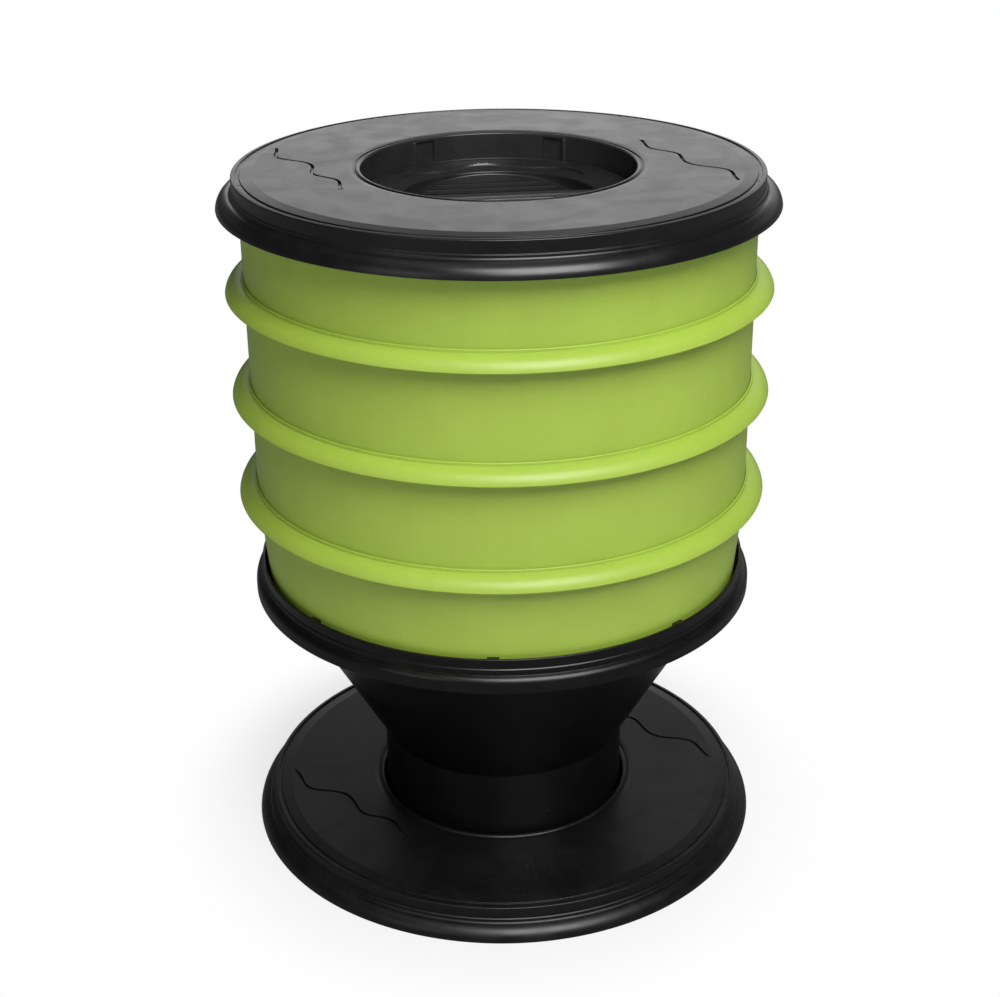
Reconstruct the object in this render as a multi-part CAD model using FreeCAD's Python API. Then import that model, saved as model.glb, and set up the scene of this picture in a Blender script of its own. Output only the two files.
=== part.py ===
import FreeCAD, Part

import math
import os

from FreeCAD import Vector

# Trays: four stacked round bins, each standing in the lip of the piece below
TRAY_RADIUS = 223.6
WALL = 2.4
FLANGE_REACH = 16.4
FLANGE_ROUND = 14.1
FLANGE_SINK = 2.6
LIP_WALL = 1.6
LIP_HEIGHT = 14.5
SEAT_DROP = 3.0
TRAY_PITCH = 94.0
TOP_TRAY_PITCH = 74.3
FIRST_TRAY_DEPTH = 96.2
SPIGOT_DEPTH = 16.0
STACK_GAP = 0.4
SPIGOT_GAP = 0.9
EDGE_BREAK = 0.6
FLANGE_ARC_POINT = 50.0

# The lowest tray narrows towards its foot
FOOT_NARROWING = 7.5
FOOT_TAPER_START = 12.0

# Drain and worm holes in the tray floors
HOLE_RADIUS = 4.5
HOLE_RING_STEP = 30.0
HOLES_PER_RING_STEP = 6
HOLE_EDGE_MARGIN = 24.0

# Liquid collector: neck, cone, seat and lip
NECK_RADIUS = 115.6
NECK_HEIGHT = 87.8
NECK_FOOT_REACH = 1.3
NECK_FOOT_HEIGHT = 3.0
CONE_HEIGHT = 158.0
SHELF_WIDTH = 11.6
SEAT_GAP = 1.5
SEAT_HEIGHT = 11.5
COLLECTOR_LIP_GAP = 5.5
COLLECTOR_LIP_WALL = 2.6
COLLECTOR_LIP_HEIGHT = 26.7
COLLECTOR_FLANGE_REACH = 6.7
COLLECTOR_FLANGE_EDGE = 7.0
COLLECTOR_FLANGE_ROUND = 7.4
COLLECTOR_STEP_HEIGHT = 19.6
COLLECTOR_STEP = 0.8
CENTRING_TABS = 8
CENTRING_TAB_WIDTH = 10.0
CENTRING_TAB_REACH = 2.4
CENTRING_TAB_RISE = 0.5
CENTRING_TAB_TURN = -2.1

# Round moulding used for the base and again for the lid
PLATE_HEIGHT = 28.5
PLATE_GAP = 0.4
PLATE_CLEARANCE = 0.5
ROLL_ROUND = 13.6
ROLL_WALL = 2.6
ROLL_RISE = 1.2
ROLL_ARC_POINT = 42.0
ROLL_ARC_END = 75.0
ROLL_FILLET_INSET = 2.6
ROLL_FILLET_SAG = 0.7
ROLL_FILLET_RISE = 2.4
SKIRT_WALL = 2.4
SKIRT_STEP = 1.0
SKIRT_STEP_HEIGHT = 15.6
RIM_LEDGE_WIDTH = 4.2
RIM_LEDGE_SINK = 1.0
RIM_GROOVE_WIDTH = 3.2
RIM_GROOVE_DEPTH = 1.9
RIM_SLOPE_WIDTH = 10.0
RIM_SLOPE_DROP = 1.1
RIM_BACKING = 1.0
COLLAR_GAP = 3.0
COLLAR_WALL = 2.8
COLLAR_BEAD_WIDTH = 4.6
COLLAR_BEAD_DROP = 1.5
COLLAR_LINE_WIDTH = 0.8
COLLAR_LINE_SLOPE = 1.2
COLLAR_EDGE_WIDTH = 3.8
COLLAR_EDGE_SINK = 0.4
LEDGE_WIDTH = 10.1
LEDGE_THICKNESS = 2.2
STIFFENER_COUNT = 12
STIFFENER_WIDTH = 2.0
STIFFENER_DROP = 6.0
POCKET_COUNT = 6
POCKET_TURN = -4.8
POCKET_WIDTH = 20.6
POCKET_DEPTH = 1.8
POCKET_TOP_DROP = 3.4
STOP_RIB_RADIUS = 1.7
STOP_RIB_REACH = 1.4
BASE_TURN = 200.0

# Wavy grooves pressed into the round moulding
GROOVE_TAIL_INSET = 16.2
GROOVE_TAIL_ANGLE = -17.5
GROOVE_HEAD_OUTSET = 33.7
GROOVE_HEAD_ANGLE = 32.1
GROOVE_WIDTH = 3.0
GROOVE_DEPTH = 1.4
GROOVE_SWINGS = [0.9, -4.2, -2.4, -5.3, 1.6, 1.7, -0.1, 0.7]
GROOVE_HEAD_SIZE = 3.5
GROOVE_POINTS = 41
GROOVE_LOOK_AHEAD = 0.01

# Cap in the lid's opening
SEAL_THICKNESS = 1.3
SEAL_WIDTH = 7.2
CAP_GAP = 1.7
CAP_THICKNESS = 2.2
CAP_BEAD_WIDTH = 2.4
CAP_BEAD_HEIGHT = 0.7
CAP_BEAD_INSET = 1.4
CAP_DISH_DEPTH = 6.2
CAP_DISH_WIDTH = 18.0
CAP_LEDGE_GAP = 0.6
CAP_TURN = 6.9
WELL_EDGE = 3.0
GRIP_WIDTH = 20.0
WELL_SHALLOW = 2.4
WELL_DEEP = 17.0
WELL_CORNER = 6.0
RIDGE_STEP = 10.0
RIDGE_WIDTH = 1.4
RIDGE_HEIGHT = 0.8
CAP_WORM_START = -66.0
CAP_WORM_END = 50.0
CAP_WORM_WAVES = 2.5
CAP_WORM_SWING = 2.6

# Drain tap at the back of the cone
TAP_RISE = 20.0
BOSS_RADIUS = 18.0
BOSS_LENGTH = 17.0
BOSS_STAND = 2.0
SPOT_FACE_RADIUS = 16.0
SHANK_RADIUS = 10.0
SHANK_GAP = 0.3
WASHER_RADIUS = 14.5
WASHER_THICKNESS = 1.8
NUT_RADIUS = 15.0
NUT_THICKNESS = 7.0
NUT_GAP = 0.05
SHANK_TAIL = 2.0
TAP_FLANGE_RADIUS = 16.0
TAP_FLANGE_THICKNESS = 3.5
TAP_TUBE_RADIUS = 10.5
TAP_BORE_RADIUS = 5.0
BARREL_RADIUS = 13.0
BARREL_RISE = 15.0
BARREL_REACH = 27.0
PLUG_RADIUS = 9.0
PLUG_GAP = 0.06
BARREL_FLOOR = 3.0
SPOUT_REACH = 22.0
SPOUT_RADIUS = 8.0
SPOUT_DROP = 30.0
LEVER_GAP = 0.4
LEVER_THICKNESS = 6.0
LEVER_LENGTH = 44.0
LEVER_WIDTH = 12.0
SCREW_RADIUS = 2.0
SCREW_GAP = 0.05
SCREW_LENGTH = 12.0
SCREW_HEAD_RADIUS = 4.2
SCREW_HEAD_HEIGHT = 2.6
SCREW_SLOT = 1.0

# Heights of the pieces, worked out from the floor upwards
NECK_BOTTOM = LEDGE_THICKNESS
CONE_BOTTOM = NECK_BOTTOM + NECK_HEIGHT
CONE_TOP = CONE_BOTTOM + CONE_HEIGHT
SEAT_LEVEL = CONE_TOP + WALL
COLLECTOR_TOP = SEAT_LEVEL + COLLECTOR_LIP_HEIGHT
FIRST_RIM = SEAT_LEVEL + FIRST_TRAY_DEPTH
RIM_LEVELS = [
    FIRST_RIM,
    FIRST_RIM + TRAY_PITCH,
    FIRST_RIM + 2 * TRAY_PITCH,
    FIRST_RIM + 2 * TRAY_PITCH + TOP_TRAY_PITCH,
]
LID_BOTTOM = RIM_LEVELS[-1]

# Radii that several pieces share
RIM_RADIUS = TRAY_RADIUS + FLANGE_REACH
LIP_INNER = TRAY_RADIUS + STACK_GAP
LIP_OUTER = LIP_INNER + LIP_WALL
TRAY_BORE = TRAY_RADIUS - WALL
SPIGOT_RADIUS = TRAY_BORE - SPIGOT_GAP
FOOT_RADIUS = TRAY_RADIUS - FOOT_NARROWING
CONE_TOP_RADIUS = FOOT_RADIUS - SHELF_WIDTH
COLLAR_RADIUS = NECK_RADIUS + COLLAR_GAP
COLLAR_OUTER = COLLAR_RADIUS + COLLAR_WALL
LEDGE_RADIUS = COLLAR_RADIUS - LEDGE_WIDTH
CAP_RADIUS = COLLAR_RADIUS - CAP_GAP
CONE_SLOPE = (CONE_TOP_RADIUS - NECK_RADIUS) / CONE_HEIGHT
CONE_WALL = WALL * math.hypot(1.0, CONE_SLOPE)

AXIS = Vector(0, 0, 1)
ORIGIN = Vector(0, 0, 0)
NEAR = 0.01


class Outline:
    """Half section in the XZ plane, drawn point by point and turned about Z."""

    def __init__(self, radius, height):
        self.start = self.last = Vector(radius, 0, height)
        self.edges = []

    def line(self, *points):
        """Add straight runs through (radius, height) pairs."""
        for radius, height in points:
            point = Vector(radius, 0, height)
            self.edges.append(Part.LineSegment(self.last, point).toShape())
            self.last = point
        return self

    def arc(self, middle, end):
        """Add an arc through a middle (radius, height) pair to an end pair."""
        middle = Vector(middle[0], 0, middle[1])
        end = Vector(end[0], 0, end[1])
        self.edges.append(Part.Arc(self.last, middle, end).toShape())
        self.last = end
        return self

    def revolve(self):
        """Close the outline and turn it into a solid."""
        if (self.last - self.start).Length > NEAR:
            self.edges.append(Part.LineSegment(self.last, self.start).toShape())
        return Part.Face(Part.Wire(self.edges)).revolve(ORIGIN, AXIS, 360)


def polar(radius, degrees, height=0.0):
    """Point at an angle counted from +X towards +Y."""
    angle = math.radians(degrees)
    return Vector(radius * math.cos(angle), radius * math.sin(angle), height)


def on_circle(centre, radius, degrees):
    """(radius, height) pair on a section circle, the angle counted from outwards to up."""
    angle = math.radians(degrees)
    return centre[0] + radius * math.cos(angle), centre[1] + radius * math.sin(angle)


def turned(shape, degrees):
    """Copy of a shape turned about the vertical axis."""
    copy = shape.copy()
    copy.rotate(ORIGIN, AXIS, degrees)
    return copy


def box_at(low, high):
    """Box between two opposite corners."""
    size = [high[axis] - low[axis] for axis in range(3)]
    return Part.makeBox(*size, Vector(*low))


def along_y(radius, start, end, height):
    """Round bar along Y at x = 0."""
    return Part.makeCylinder(radius, end - start, Vector(0, start, height), Vector(0, 1, 0))


def upright(radius, x, y, bottom, top):
    """Round bar along Z."""
    return Part.makeCylinder(radius, top - bottom, Vector(x, y, bottom))


def rim_circle(level):
    """Centre of the section circle that rounds a tray flange."""
    return RIM_RADIUS - math.sqrt(FLANGE_ROUND**2 - FLANGE_SINK**2), level - FLANGE_SINK


def rim_angle(radius):
    """Angle at which a flange circle of this radius meets the flange's lower edge."""
    return math.degrees(math.asin(FLANGE_SINK / radius))


def draw_flange(outline, level):
    """Draw a tray's flange, lip and seat, from the wall under the flange to the bore."""
    centre = rim_circle(level)
    inner = FLANGE_ROUND - WALL
    under = on_circle(centre, inner, rim_angle(inner))
    roof = (TRAY_RADIUS, level + math.sqrt(inner**2 - (TRAY_RADIUS - centre[0])**2) - FLANGE_SINK)
    outline.line(roof).arc(on_circle(centre, inner, FLANGE_ARC_POINT), under)
    outline.line((RIM_RADIUS, level))
    crown = centre[1] + FLANGE_ROUND
    outline.arc(on_circle(centre, FLANGE_ROUND, FLANGE_ARC_POINT), (centre[0], crown))
    top = level + LIP_HEIGHT
    seat = top - SEAT_DROP
    outline.line((LIP_OUTER, crown), (LIP_OUTER, top - EDGE_BREAK), (LIP_OUTER - EDGE_BREAK, top))
    outline.line((LIP_INNER, top), (LIP_INNER, seat), (TRAY_BORE, seat))


def floor_holes(bottom, reach):
    """Rings of round holes through a tray floor."""
    limit = reach - HOLE_EDGE_MARGIN
    holes = [upright(HOLE_RADIUS, 0, 0, bottom - WALL, bottom + 2 * WALL)]
    ring = 1
    while ring * HOLE_RING_STEP <= limit:
        count = ring * HOLES_PER_RING_STEP
        for index in range(count):
            place = polar(ring * HOLE_RING_STEP, 360 * (index + 0.5 * (ring % 2)) / count)
            holes.append(upright(HOLE_RADIUS, place.x, place.y, bottom - WALL, bottom + 2 * WALL))
        ring += 1
    return Part.makeCompound(holes)


def first_tray():
    """Lowest tray: its wall narrows to a foot that stands in the collector."""
    level = FIRST_RIM
    foot = SEAT_LEVEL
    outline = Outline(0, foot)
    outline.line((FOOT_RADIUS - EDGE_BREAK, foot), (FOOT_RADIUS, foot + EDGE_BREAK))
    outline.line((TRAY_RADIUS, level - FOOT_TAPER_START))
    draw_flange(outline, level)
    outline.line((TRAY_BORE, level - FOOT_TAPER_START), (FOOT_RADIUS - WALL, foot + WALL), (0, foot + WALL))
    return outline.revolve().cut(floor_holes(foot, FOOT_RADIUS))


def stacked_tray(level, level_below):
    """Tray whose shoulder rests on the seat of the tray below, its spigot inside it."""
    shoulder = level_below + LIP_HEIGHT - SEAT_DROP
    foot = shoulder - SPIGOT_DEPTH
    outline = Outline(0, foot)
    outline.line((SPIGOT_RADIUS - EDGE_BREAK, foot), (SPIGOT_RADIUS, foot + EDGE_BREAK))
    outline.line((SPIGOT_RADIUS, shoulder), (TRAY_RADIUS, shoulder))
    draw_flange(outline, level)
    outline.line((TRAY_BORE, shoulder + WALL), (SPIGOT_RADIUS - WALL, shoulder))
    outline.line((SPIGOT_RADIUS - WALL, foot + WALL), (0, foot + WALL))
    return outline.revolve().cut(floor_holes(foot, SPIGOT_RADIUS))


def cone_radius(height):
    """Outer radius of the collector's cone at a height."""
    return NECK_RADIUS + (height - CONE_BOTTOM) * CONE_SLOPE


def collector_shell():
    """Neck, cone, seat, flange and lip in one turned section."""
    seat_radius = FOOT_RADIUS + SEAT_GAP
    lip_inner = FOOT_RADIUS + COLLECTOR_LIP_GAP
    lip_outer = lip_inner + COLLECTOR_LIP_WALL
    step_radius = lip_outer + COLLECTOR_STEP
    flange_radius = lip_outer + COLLECTOR_FLANGE_REACH
    flange_edge = CONE_TOP + COLLECTOR_FLANGE_EDGE
    round_width = flange_radius - step_radius
    centre = (step_radius, flange_edge)
    step = CONE_TOP + COLLECTOR_STEP_HEIGHT
    floor = CONE_BOTTOM + WALL
    foot_radius = NECK_RADIUS + NECK_FOOT_REACH
    foot_top = NECK_BOTTOM + NECK_FOOT_HEIGHT
    outline = Outline(NECK_RADIUS - WALL, NECK_BOTTOM)
    outline.line((foot_radius, NECK_BOTTOM), (foot_radius, foot_top))
    outline.line((NECK_RADIUS, foot_top + NECK_FOOT_REACH), (NECK_RADIUS, CONE_BOTTOM))
    outline.line((CONE_TOP_RADIUS, CONE_TOP), (flange_radius - EDGE_BREAK, CONE_TOP))
    outline.line((flange_radius, CONE_TOP + EDGE_BREAK), (flange_radius, flange_edge))
    bulge = math.sqrt(0.5)
    shoulder = (centre[0] + bulge * round_width, centre[1] + bulge * COLLECTOR_FLANGE_ROUND)
    outline.arc(shoulder, (step_radius, flange_edge + COLLECTOR_FLANGE_ROUND))
    outline.line((step_radius, step), (lip_outer, step + COLLECTOR_STEP))
    outline.line((lip_outer, COLLECTOR_TOP - EDGE_BREAK), (lip_outer - EDGE_BREAK, COLLECTOR_TOP))
    outline.line((lip_inner + EDGE_BREAK, COLLECTOR_TOP), (lip_inner, COLLECTOR_TOP - EDGE_BREAK))
    outline.line((lip_inner, SEAT_LEVEL + SEAT_HEIGHT + COLLECTOR_LIP_GAP))
    outline.line((seat_radius, SEAT_LEVEL + SEAT_HEIGHT), (seat_radius, SEAT_LEVEL))
    outline.line((cone_radius(SEAT_LEVEL) - CONE_WALL, SEAT_LEVEL))
    outline.line((cone_radius(floor) - CONE_WALL, floor), (0, floor), (0, CONE_BOTTOM))
    outline.line((NECK_RADIUS - WALL, CONE_BOTTOM))
    return outline.revolve()


def centring_tabs():
    """Pads inside the collector's lip that centre the lowest tray."""
    lip_inner = FOOT_RADIUS + COLLECTOR_LIP_GAP
    low = (lip_inner - CENTRING_TAB_REACH, -CENTRING_TAB_WIDTH / 2, SEAT_LEVEL + SEAT_HEIGHT)
    high = (lip_inner + COLLECTOR_LIP_WALL / 2, CENTRING_TAB_WIDTH / 2, COLLECTOR_TOP + CENTRING_TAB_RISE)
    tab = box_at(low, high)
    start = -90 + CENTRING_TAB_TURN
    return [turned(tab, start + 360 * index / CENTRING_TABS) for index in range(CENTRING_TABS)]


TAP_LEVEL = CONE_BOTTOM + TAP_RISE
BOSS_FACE = cone_radius(TAP_LEVEL + BOSS_RADIUS) + BOSS_STAND
BOSS_BACK = BOSS_FACE - BOSS_LENGTH
TAP_FACE = BOSS_FACE + WASHER_THICKNESS
BARREL_Y = TAP_FACE + TAP_FLANGE_THICKNESS + BARREL_REACH
SPOUT_Y = BARREL_Y + SPOUT_REACH
BARREL_TOP = TAP_LEVEL + BARREL_RISE
SHANK_END = BOSS_BACK - WASHER_THICKNESS - NUT_THICKNESS - SHANK_TAIL


def collector():
    """Collector with its centring tabs and the bored boss for the tap."""
    boss = along_y(BOSS_RADIUS, BOSS_BACK, BOSS_FACE, TAP_LEVEL)
    shape = collector_shell().fuse([boss] + centring_tabs())
    spot_face = along_y(SPOT_FACE_RADIUS, SHANK_END, BOSS_BACK, TAP_LEVEL)
    bore = along_y(SHANK_RADIUS + SHANK_GAP, SHANK_END, BOSS_FACE + 1, TAP_LEVEL)
    return shape.cut([spot_face, bore]).removeSplitter()


def wavy_band(place, width, head, tail, base, height):
    """Upright cutter that follows a wavy line, with a round head and tail."""
    left = []
    right = []
    for index in range(GROOVE_POINTS):
        share = index / (GROOVE_POINTS - 1)
        before = place(max(share - GROOVE_LOOK_AHEAD, 0))
        after = place(min(share + GROOVE_LOOK_AHEAD, 1))
        side = (after - before).cross(AXIS).normalize() * (width / 2)
        left.append(place(share) + side)
        right.append(place(share) - side)
    edges = []
    for run in (left, list(reversed(right))):
        curve = Part.BSplineCurve()
        curve.interpolate(run)
        edges.append(curve.toShape())
    edges.insert(1, Part.LineSegment(left[-1], right[-1]).toShape())
    edges.append(Part.LineSegment(right[0], left[0]).toShape())
    face = Part.Face(Part.Wire(edges))
    face.translate(Vector(0, 0, base))
    band = face.extrude(Vector(0, 0, height))
    top = base + height
    start = place(0)
    end = place(1)
    return band.fuse([upright(tail, start.x, start.y, base, top), upright(head, end.x, end.y, base, top)])


def groove_place(share):
    """Point of a plate groove's middle line, from its tail to its head."""
    tail = polar(TRAY_RADIUS - GROOVE_TAIL_INSET, GROOVE_TAIL_ANGLE)
    head = polar(COLLAR_RADIUS + GROOVE_HEAD_OUTSET, GROOVE_HEAD_ANGLE)
    swing = 0.0
    for waves, size in enumerate(GROOVE_SWINGS, start=1):
        swing += size * math.sin(waves * math.pi * share)
    across = AXIS.cross(head - tail).normalize()
    return tail + (head - tail) * share + across * swing


def plate_section():
    """Turned section of the round moulding, its rolled edge at height 0."""
    centre = rim_circle(0)
    inner = FLANGE_ROUND + PLATE_GAP
    inner_foot = on_circle(centre, inner, rim_angle(inner))
    roll_radius = inner_foot[0] + ROLL_WALL
    roll_centre = (roll_radius - ROLL_ROUND, -ROLL_RISE)
    skirt = LIP_OUTER + PLATE_CLEARANCE + SKIRT_WALL
    step_radius = skirt + SKIRT_STEP
    under = PLATE_HEIGHT - WALL
    seat_inner = LIP_INNER - EDGE_BREAK
    pocket = LIP_OUTER + PLATE_CLEARANCE
    ledge = PLATE_HEIGHT - RIM_LEDGE_SINK
    groove_outer = skirt - RIM_LEDGE_WIDTH
    groove_inner = groove_outer - RIM_GROOVE_WIDTH
    groove_floor = PLATE_HEIGHT - RIM_GROOVE_DEPTH
    slope_inner = groove_inner - RIM_SLOPE_WIDTH
    slope_foot = PLATE_HEIGHT - RIM_SLOPE_DROP
    bead_outer = COLLAR_RADIUS + COLLAR_BEAD_WIDTH
    bead_foot = PLATE_HEIGHT - COLLAR_BEAD_DROP
    line_outer = bead_outer + COLLAR_LINE_WIDTH
    edge_inner = line_outer + COLLAR_LINE_SLOPE
    edge_outer = edge_inner + COLLAR_EDGE_WIDTH
    outline = Outline(inner_foot[0], 0)
    outline.line((roll_radius, 0), (roll_radius, EDGE_BREAK))
    roll_end = on_circle(roll_centre, ROLL_ROUND, ROLL_ARC_END)
    outline.arc(on_circle(roll_centre, ROLL_ROUND, ROLL_ARC_POINT), roll_end)
    fillet_middle = (roll_end[0] - ROLL_FILLET_INSET, roll_end[1] + ROLL_FILLET_SAG)
    outline.arc(fillet_middle, (step_radius, roll_end[1] + ROLL_FILLET_RISE))
    outline.line((step_radius, SKIRT_STEP_HEIGHT), (skirt, SKIRT_STEP_HEIGHT + EDGE_BREAK))
    outline.line((skirt, ledge - EDGE_BREAK), (skirt - EDGE_BREAK, ledge))
    outline.line((groove_outer + EDGE_BREAK / 2, ledge), (groove_outer, groove_floor))
    outline.line((groove_inner, groove_floor), (groove_inner, slope_foot))
    outline.line((slope_inner, PLATE_HEIGHT), (edge_outer, PLATE_HEIGHT))
    outline.line((edge_inner, PLATE_HEIGHT - COLLAR_EDGE_SINK), (line_outer, bead_foot))
    outline.line((bead_outer, bead_foot))
    crest = ((bead_outer + COLLAR_RADIUS) / 2, PLATE_HEIGHT)
    outline.arc(crest, (COLLAR_RADIUS, bead_foot))
    outline.line((COLLAR_RADIUS, LEDGE_THICKNESS), (LEDGE_RADIUS, LEDGE_THICKNESS), (LEDGE_RADIUS, 0))
    outline.line((COLLAR_OUTER, 0), (COLLAR_OUTER, under), (groove_inner - RIM_BACKING, under))
    outline.line((groove_inner, under - RIM_BACKING), (pocket, under - RIM_BACKING))
    outline.line((pocket, LIP_HEIGHT + 2 * SEAT_DROP), (seat_inner, LIP_HEIGHT + SEAT_DROP))
    outline.line((seat_inner, LIP_HEIGHT), (pocket, LIP_HEIGHT))
    shoulder = math.acos((pocket - centre[0]) / inner)
    outline.line((pocket, centre[1] + inner * math.sin(shoulder)))
    outline.arc(on_circle(centre, inner, FLANGE_ARC_POINT), inner_foot)
    return outline.revolve()


def stiffeners():
    """Short radial ribs under the moulding's top."""
    start = COLLAR_OUTER - COLLAR_WALL / 2
    end = LIP_INNER + LIP_WALL
    top = PLATE_HEIGHT - (WALL + RIM_GROOVE_DEPTH) / 2
    bottom = PLATE_HEIGHT - WALL - STIFFENER_DROP
    rib = box_at((start, -STIFFENER_WIDTH / 2, bottom), (end, STIFFENER_WIDTH / 2, top))
    return [turned(rib, 360 * (index + 0.5) / STIFFENER_COUNT) for index in range(STIFFENER_COUNT)]


def collar_features():
    """Shallow pockets in the collar's wall, and the half-round rib beside each."""
    pockets = []
    ribs = []
    top = PLATE_HEIGHT - POCKET_TOP_DROP
    half = math.degrees(POCKET_WIDTH / 2 / COLLAR_RADIUS)
    ring = upright(COLLAR_RADIUS + POCKET_DEPTH, 0, 0, LEDGE_THICKNESS, top)
    reach = COLLAR_RADIUS + COLLAR_WALL
    for index in range(POCKET_COUNT):
        offset = 360 * (index + 0.5) / POCKET_COUNT
        bearing = 90 - POCKET_TURN - offset
        wedge_low = (COLLAR_RADIUS / 2, -POCKET_WIDTH / 2, LEDGE_THICKNESS)
        wedge = box_at(wedge_low, (reach, POCKET_WIDTH / 2, top))
        pockets.append(turned(ring.common(wedge), bearing))
        side = -half if offset < 180 else half
        place = polar(COLLAR_RADIUS + STOP_RIB_RADIUS - STOP_RIB_REACH, bearing + side)
        rib_top = top + STOP_RIB_RADIUS
        ribs.append(upright(STOP_RIB_RADIUS, place.x, place.y, LEDGE_THICKNESS, rib_top))
    return pockets, ribs


def plate():
    """The round moulding, before it is set in place as the base or the lid."""
    pockets, ribs = collar_features()
    shape = plate_section().cut(pockets).fuse(ribs + stiffeners())
    cutter = wavy_band(groove_place, GROOVE_WIDTH, GROOVE_HEAD_SIZE, GROOVE_WIDTH / 2,
                       PLATE_HEIGHT - GROOVE_DEPTH, 2 * GROOVE_DEPTH)
    return shape.cut([cutter, turned(cutter, 180)]).removeSplitter()


CAP_BOTTOM = LID_BOTTOM + LEDGE_THICKNESS + SEAL_THICKNESS
CAP_TOP = CAP_BOTTOM + CAP_THICKNESS
DISH_OUTER = LEDGE_RADIUS - CAP_LEDGE_GAP
DISH_INNER = DISH_OUTER - CAP_DISH_WIDTH
DISH_LEVEL = CAP_TOP - CAP_DISH_DEPTH
WELL_RADIUS = DISH_INNER - WELL_EDGE


def cap_worm_place(share):
    """Point of the cap groove's middle line, a wavy arc on the dished ring."""
    bearing = 90 - (CAP_WORM_START + share * (CAP_WORM_END - CAP_WORM_START))
    swing = CAP_WORM_SWING * math.sin(2 * math.pi * CAP_WORM_WAVES * share)
    return polar((DISH_OUTER + DISH_INNER) / 2 + swing, -CAP_TURN + bearing)


def dish_layer(depth):
    """Layer of the given depth under the dished ring's surface."""
    outline = Outline(DISH_INNER, DISH_LEVEL - depth)
    outline.line((DISH_OUTER, CAP_TOP - depth), (DISH_OUTER, CAP_TOP + depth))
    outline.line((DISH_INNER, CAP_TOP + depth))
    return outline.revolve()


def finger_well(grow):
    """D-shaped well with a sloping floor, enlarged on every side by the given amount."""
    near = GRIP_WIDTH / 2 - grow
    radius = WELL_RADIUS + grow
    run = WELL_RADIUS - GRIP_WIDTH / 2
    top = DISH_LEVEL + (0 if grow else CAP_THICKNESS)
    bottom = DISH_LEVEL - 2 * WELL_DEEP
    disc = Part.makeCylinder(radius, top - bottom, Vector(0, 0, bottom))
    prism = disc.common(box_at((-radius, near, bottom), (radius, radius, top)))
    half_chord = math.sqrt(radius**2 - near**2)
    corners = []
    for edge in prism.Edges:
        first = edge.Vertexes[0]
        last = edge.Vertexes[-1]
        flat = abs(first.Y - near) < NEAR and abs(last.Y - near) < NEAR
        upright_edge = abs(first.Z - last.Z) > CAP_THICKNESS
        if flat and upright_edge and abs(abs(first.X) - half_chord) < NEAR:
            corners.append(edge)
    prism = prism.makeFillet(WELL_CORNER + grow, corners)
    rise = (WELL_DEEP - WELL_SHALLOW) / run
    below = bottom - WELL_DEEP
    floor_near = DISH_LEVEL - WELL_DEEP - grow
    start = Vector(-2 * radius, GRIP_WIDTH / 2, floor_near)
    end = start + Vector(0, 2 * run, 2 * run * rise)
    low_end = Vector(start.x, end.y, below)
    low_start = Vector(start.x, near - 1, below)
    lead = Vector(start.x, near - 1, floor_near + (near - 1 - start.y) * rise)
    below_floor = Part.Face(Part.makePolygon([lead, end, low_end, low_start, lead]))
    return prism.cut(below_floor.extrude(Vector(4 * radius, 0, 0)))


def well_ridges():
    """Low straight ridges across the floor of a finger well."""
    floor_layer = finger_well(0).cut(finger_well(0).translated(Vector(0, 0, RIDGE_HEIGHT)))
    ridges = []
    place = GRIP_WIDTH / 2 + RIDGE_STEP
    while place < WELL_RADIUS - RIDGE_STEP:
        strip = box_at((-WELL_RADIUS, place, DISH_LEVEL - 2 * WELL_DEEP),
                       (WELL_RADIUS, place + RIDGE_WIDTH, DISH_LEVEL))
        ridges.append(strip.common(floor_layer))
        place += RIDGE_STEP
    return ridges


def lid_cap():
    """Dished cap with two finger wells, a grip bar between them and a wavy groove."""
    bead_outer = CAP_RADIUS - CAP_BEAD_INSET
    bead_inner = bead_outer - CAP_BEAD_WIDTH
    outline = Outline(0, DISH_LEVEL - CAP_THICKNESS)
    outline.line((DISH_INNER, DISH_LEVEL - CAP_THICKNESS), (DISH_OUTER, CAP_BOTTOM))
    outline.line((CAP_RADIUS, CAP_BOTTOM), (CAP_RADIUS, CAP_TOP), (bead_outer, CAP_TOP))
    outline.arc(((bead_outer + bead_inner) / 2, CAP_TOP + CAP_BEAD_HEIGHT), (bead_inner, CAP_TOP))
    outline.line((DISH_OUTER, CAP_TOP), (DISH_INNER, DISH_LEVEL), (0, DISH_LEVEL))
    shape = outline.revolve()
    shells = [finger_well(CAP_THICKNESS)]
    hollows = [finger_well(0)]
    ridges = well_ridges()
    for parts in (shells, hollows, ridges):
        parts.extend([turned(part, 180) for part in list(parts)])
    shape = shape.fuse(shells).cut(hollows).fuse(ridges)
    band = wavy_band(cap_worm_place, GROOVE_WIDTH, GROOVE_HEAD_SIZE, GROOVE_WIDTH / 2,
                     DISH_LEVEL - CAP_THICKNESS, 4 * CAP_THICKNESS)
    groove = band.common(dish_layer(GROOVE_DEPTH))
    return turned(shape.cut(groove).removeSplitter(), CAP_TURN)


def cap_seal():
    """Flat gasket between the lid's ledge and the cap."""
    bottom = LID_BOTTOM + LEDGE_THICKNESS
    ring = upright(LEDGE_RADIUS + SEAL_WIDTH, 0, 0, bottom, CAP_BOTTOM)
    return ring.cut(upright(LEDGE_RADIUS, 0, 0, bottom, CAP_BOTTOM))


def washer(start, end):
    """Flat ring round the tap's shank."""
    disc = along_y(WASHER_RADIUS, start, end, TAP_LEVEL)
    return disc.cut(along_y(SHANK_RADIUS + SHANK_GAP, start, end, TAP_LEVEL))


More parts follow.
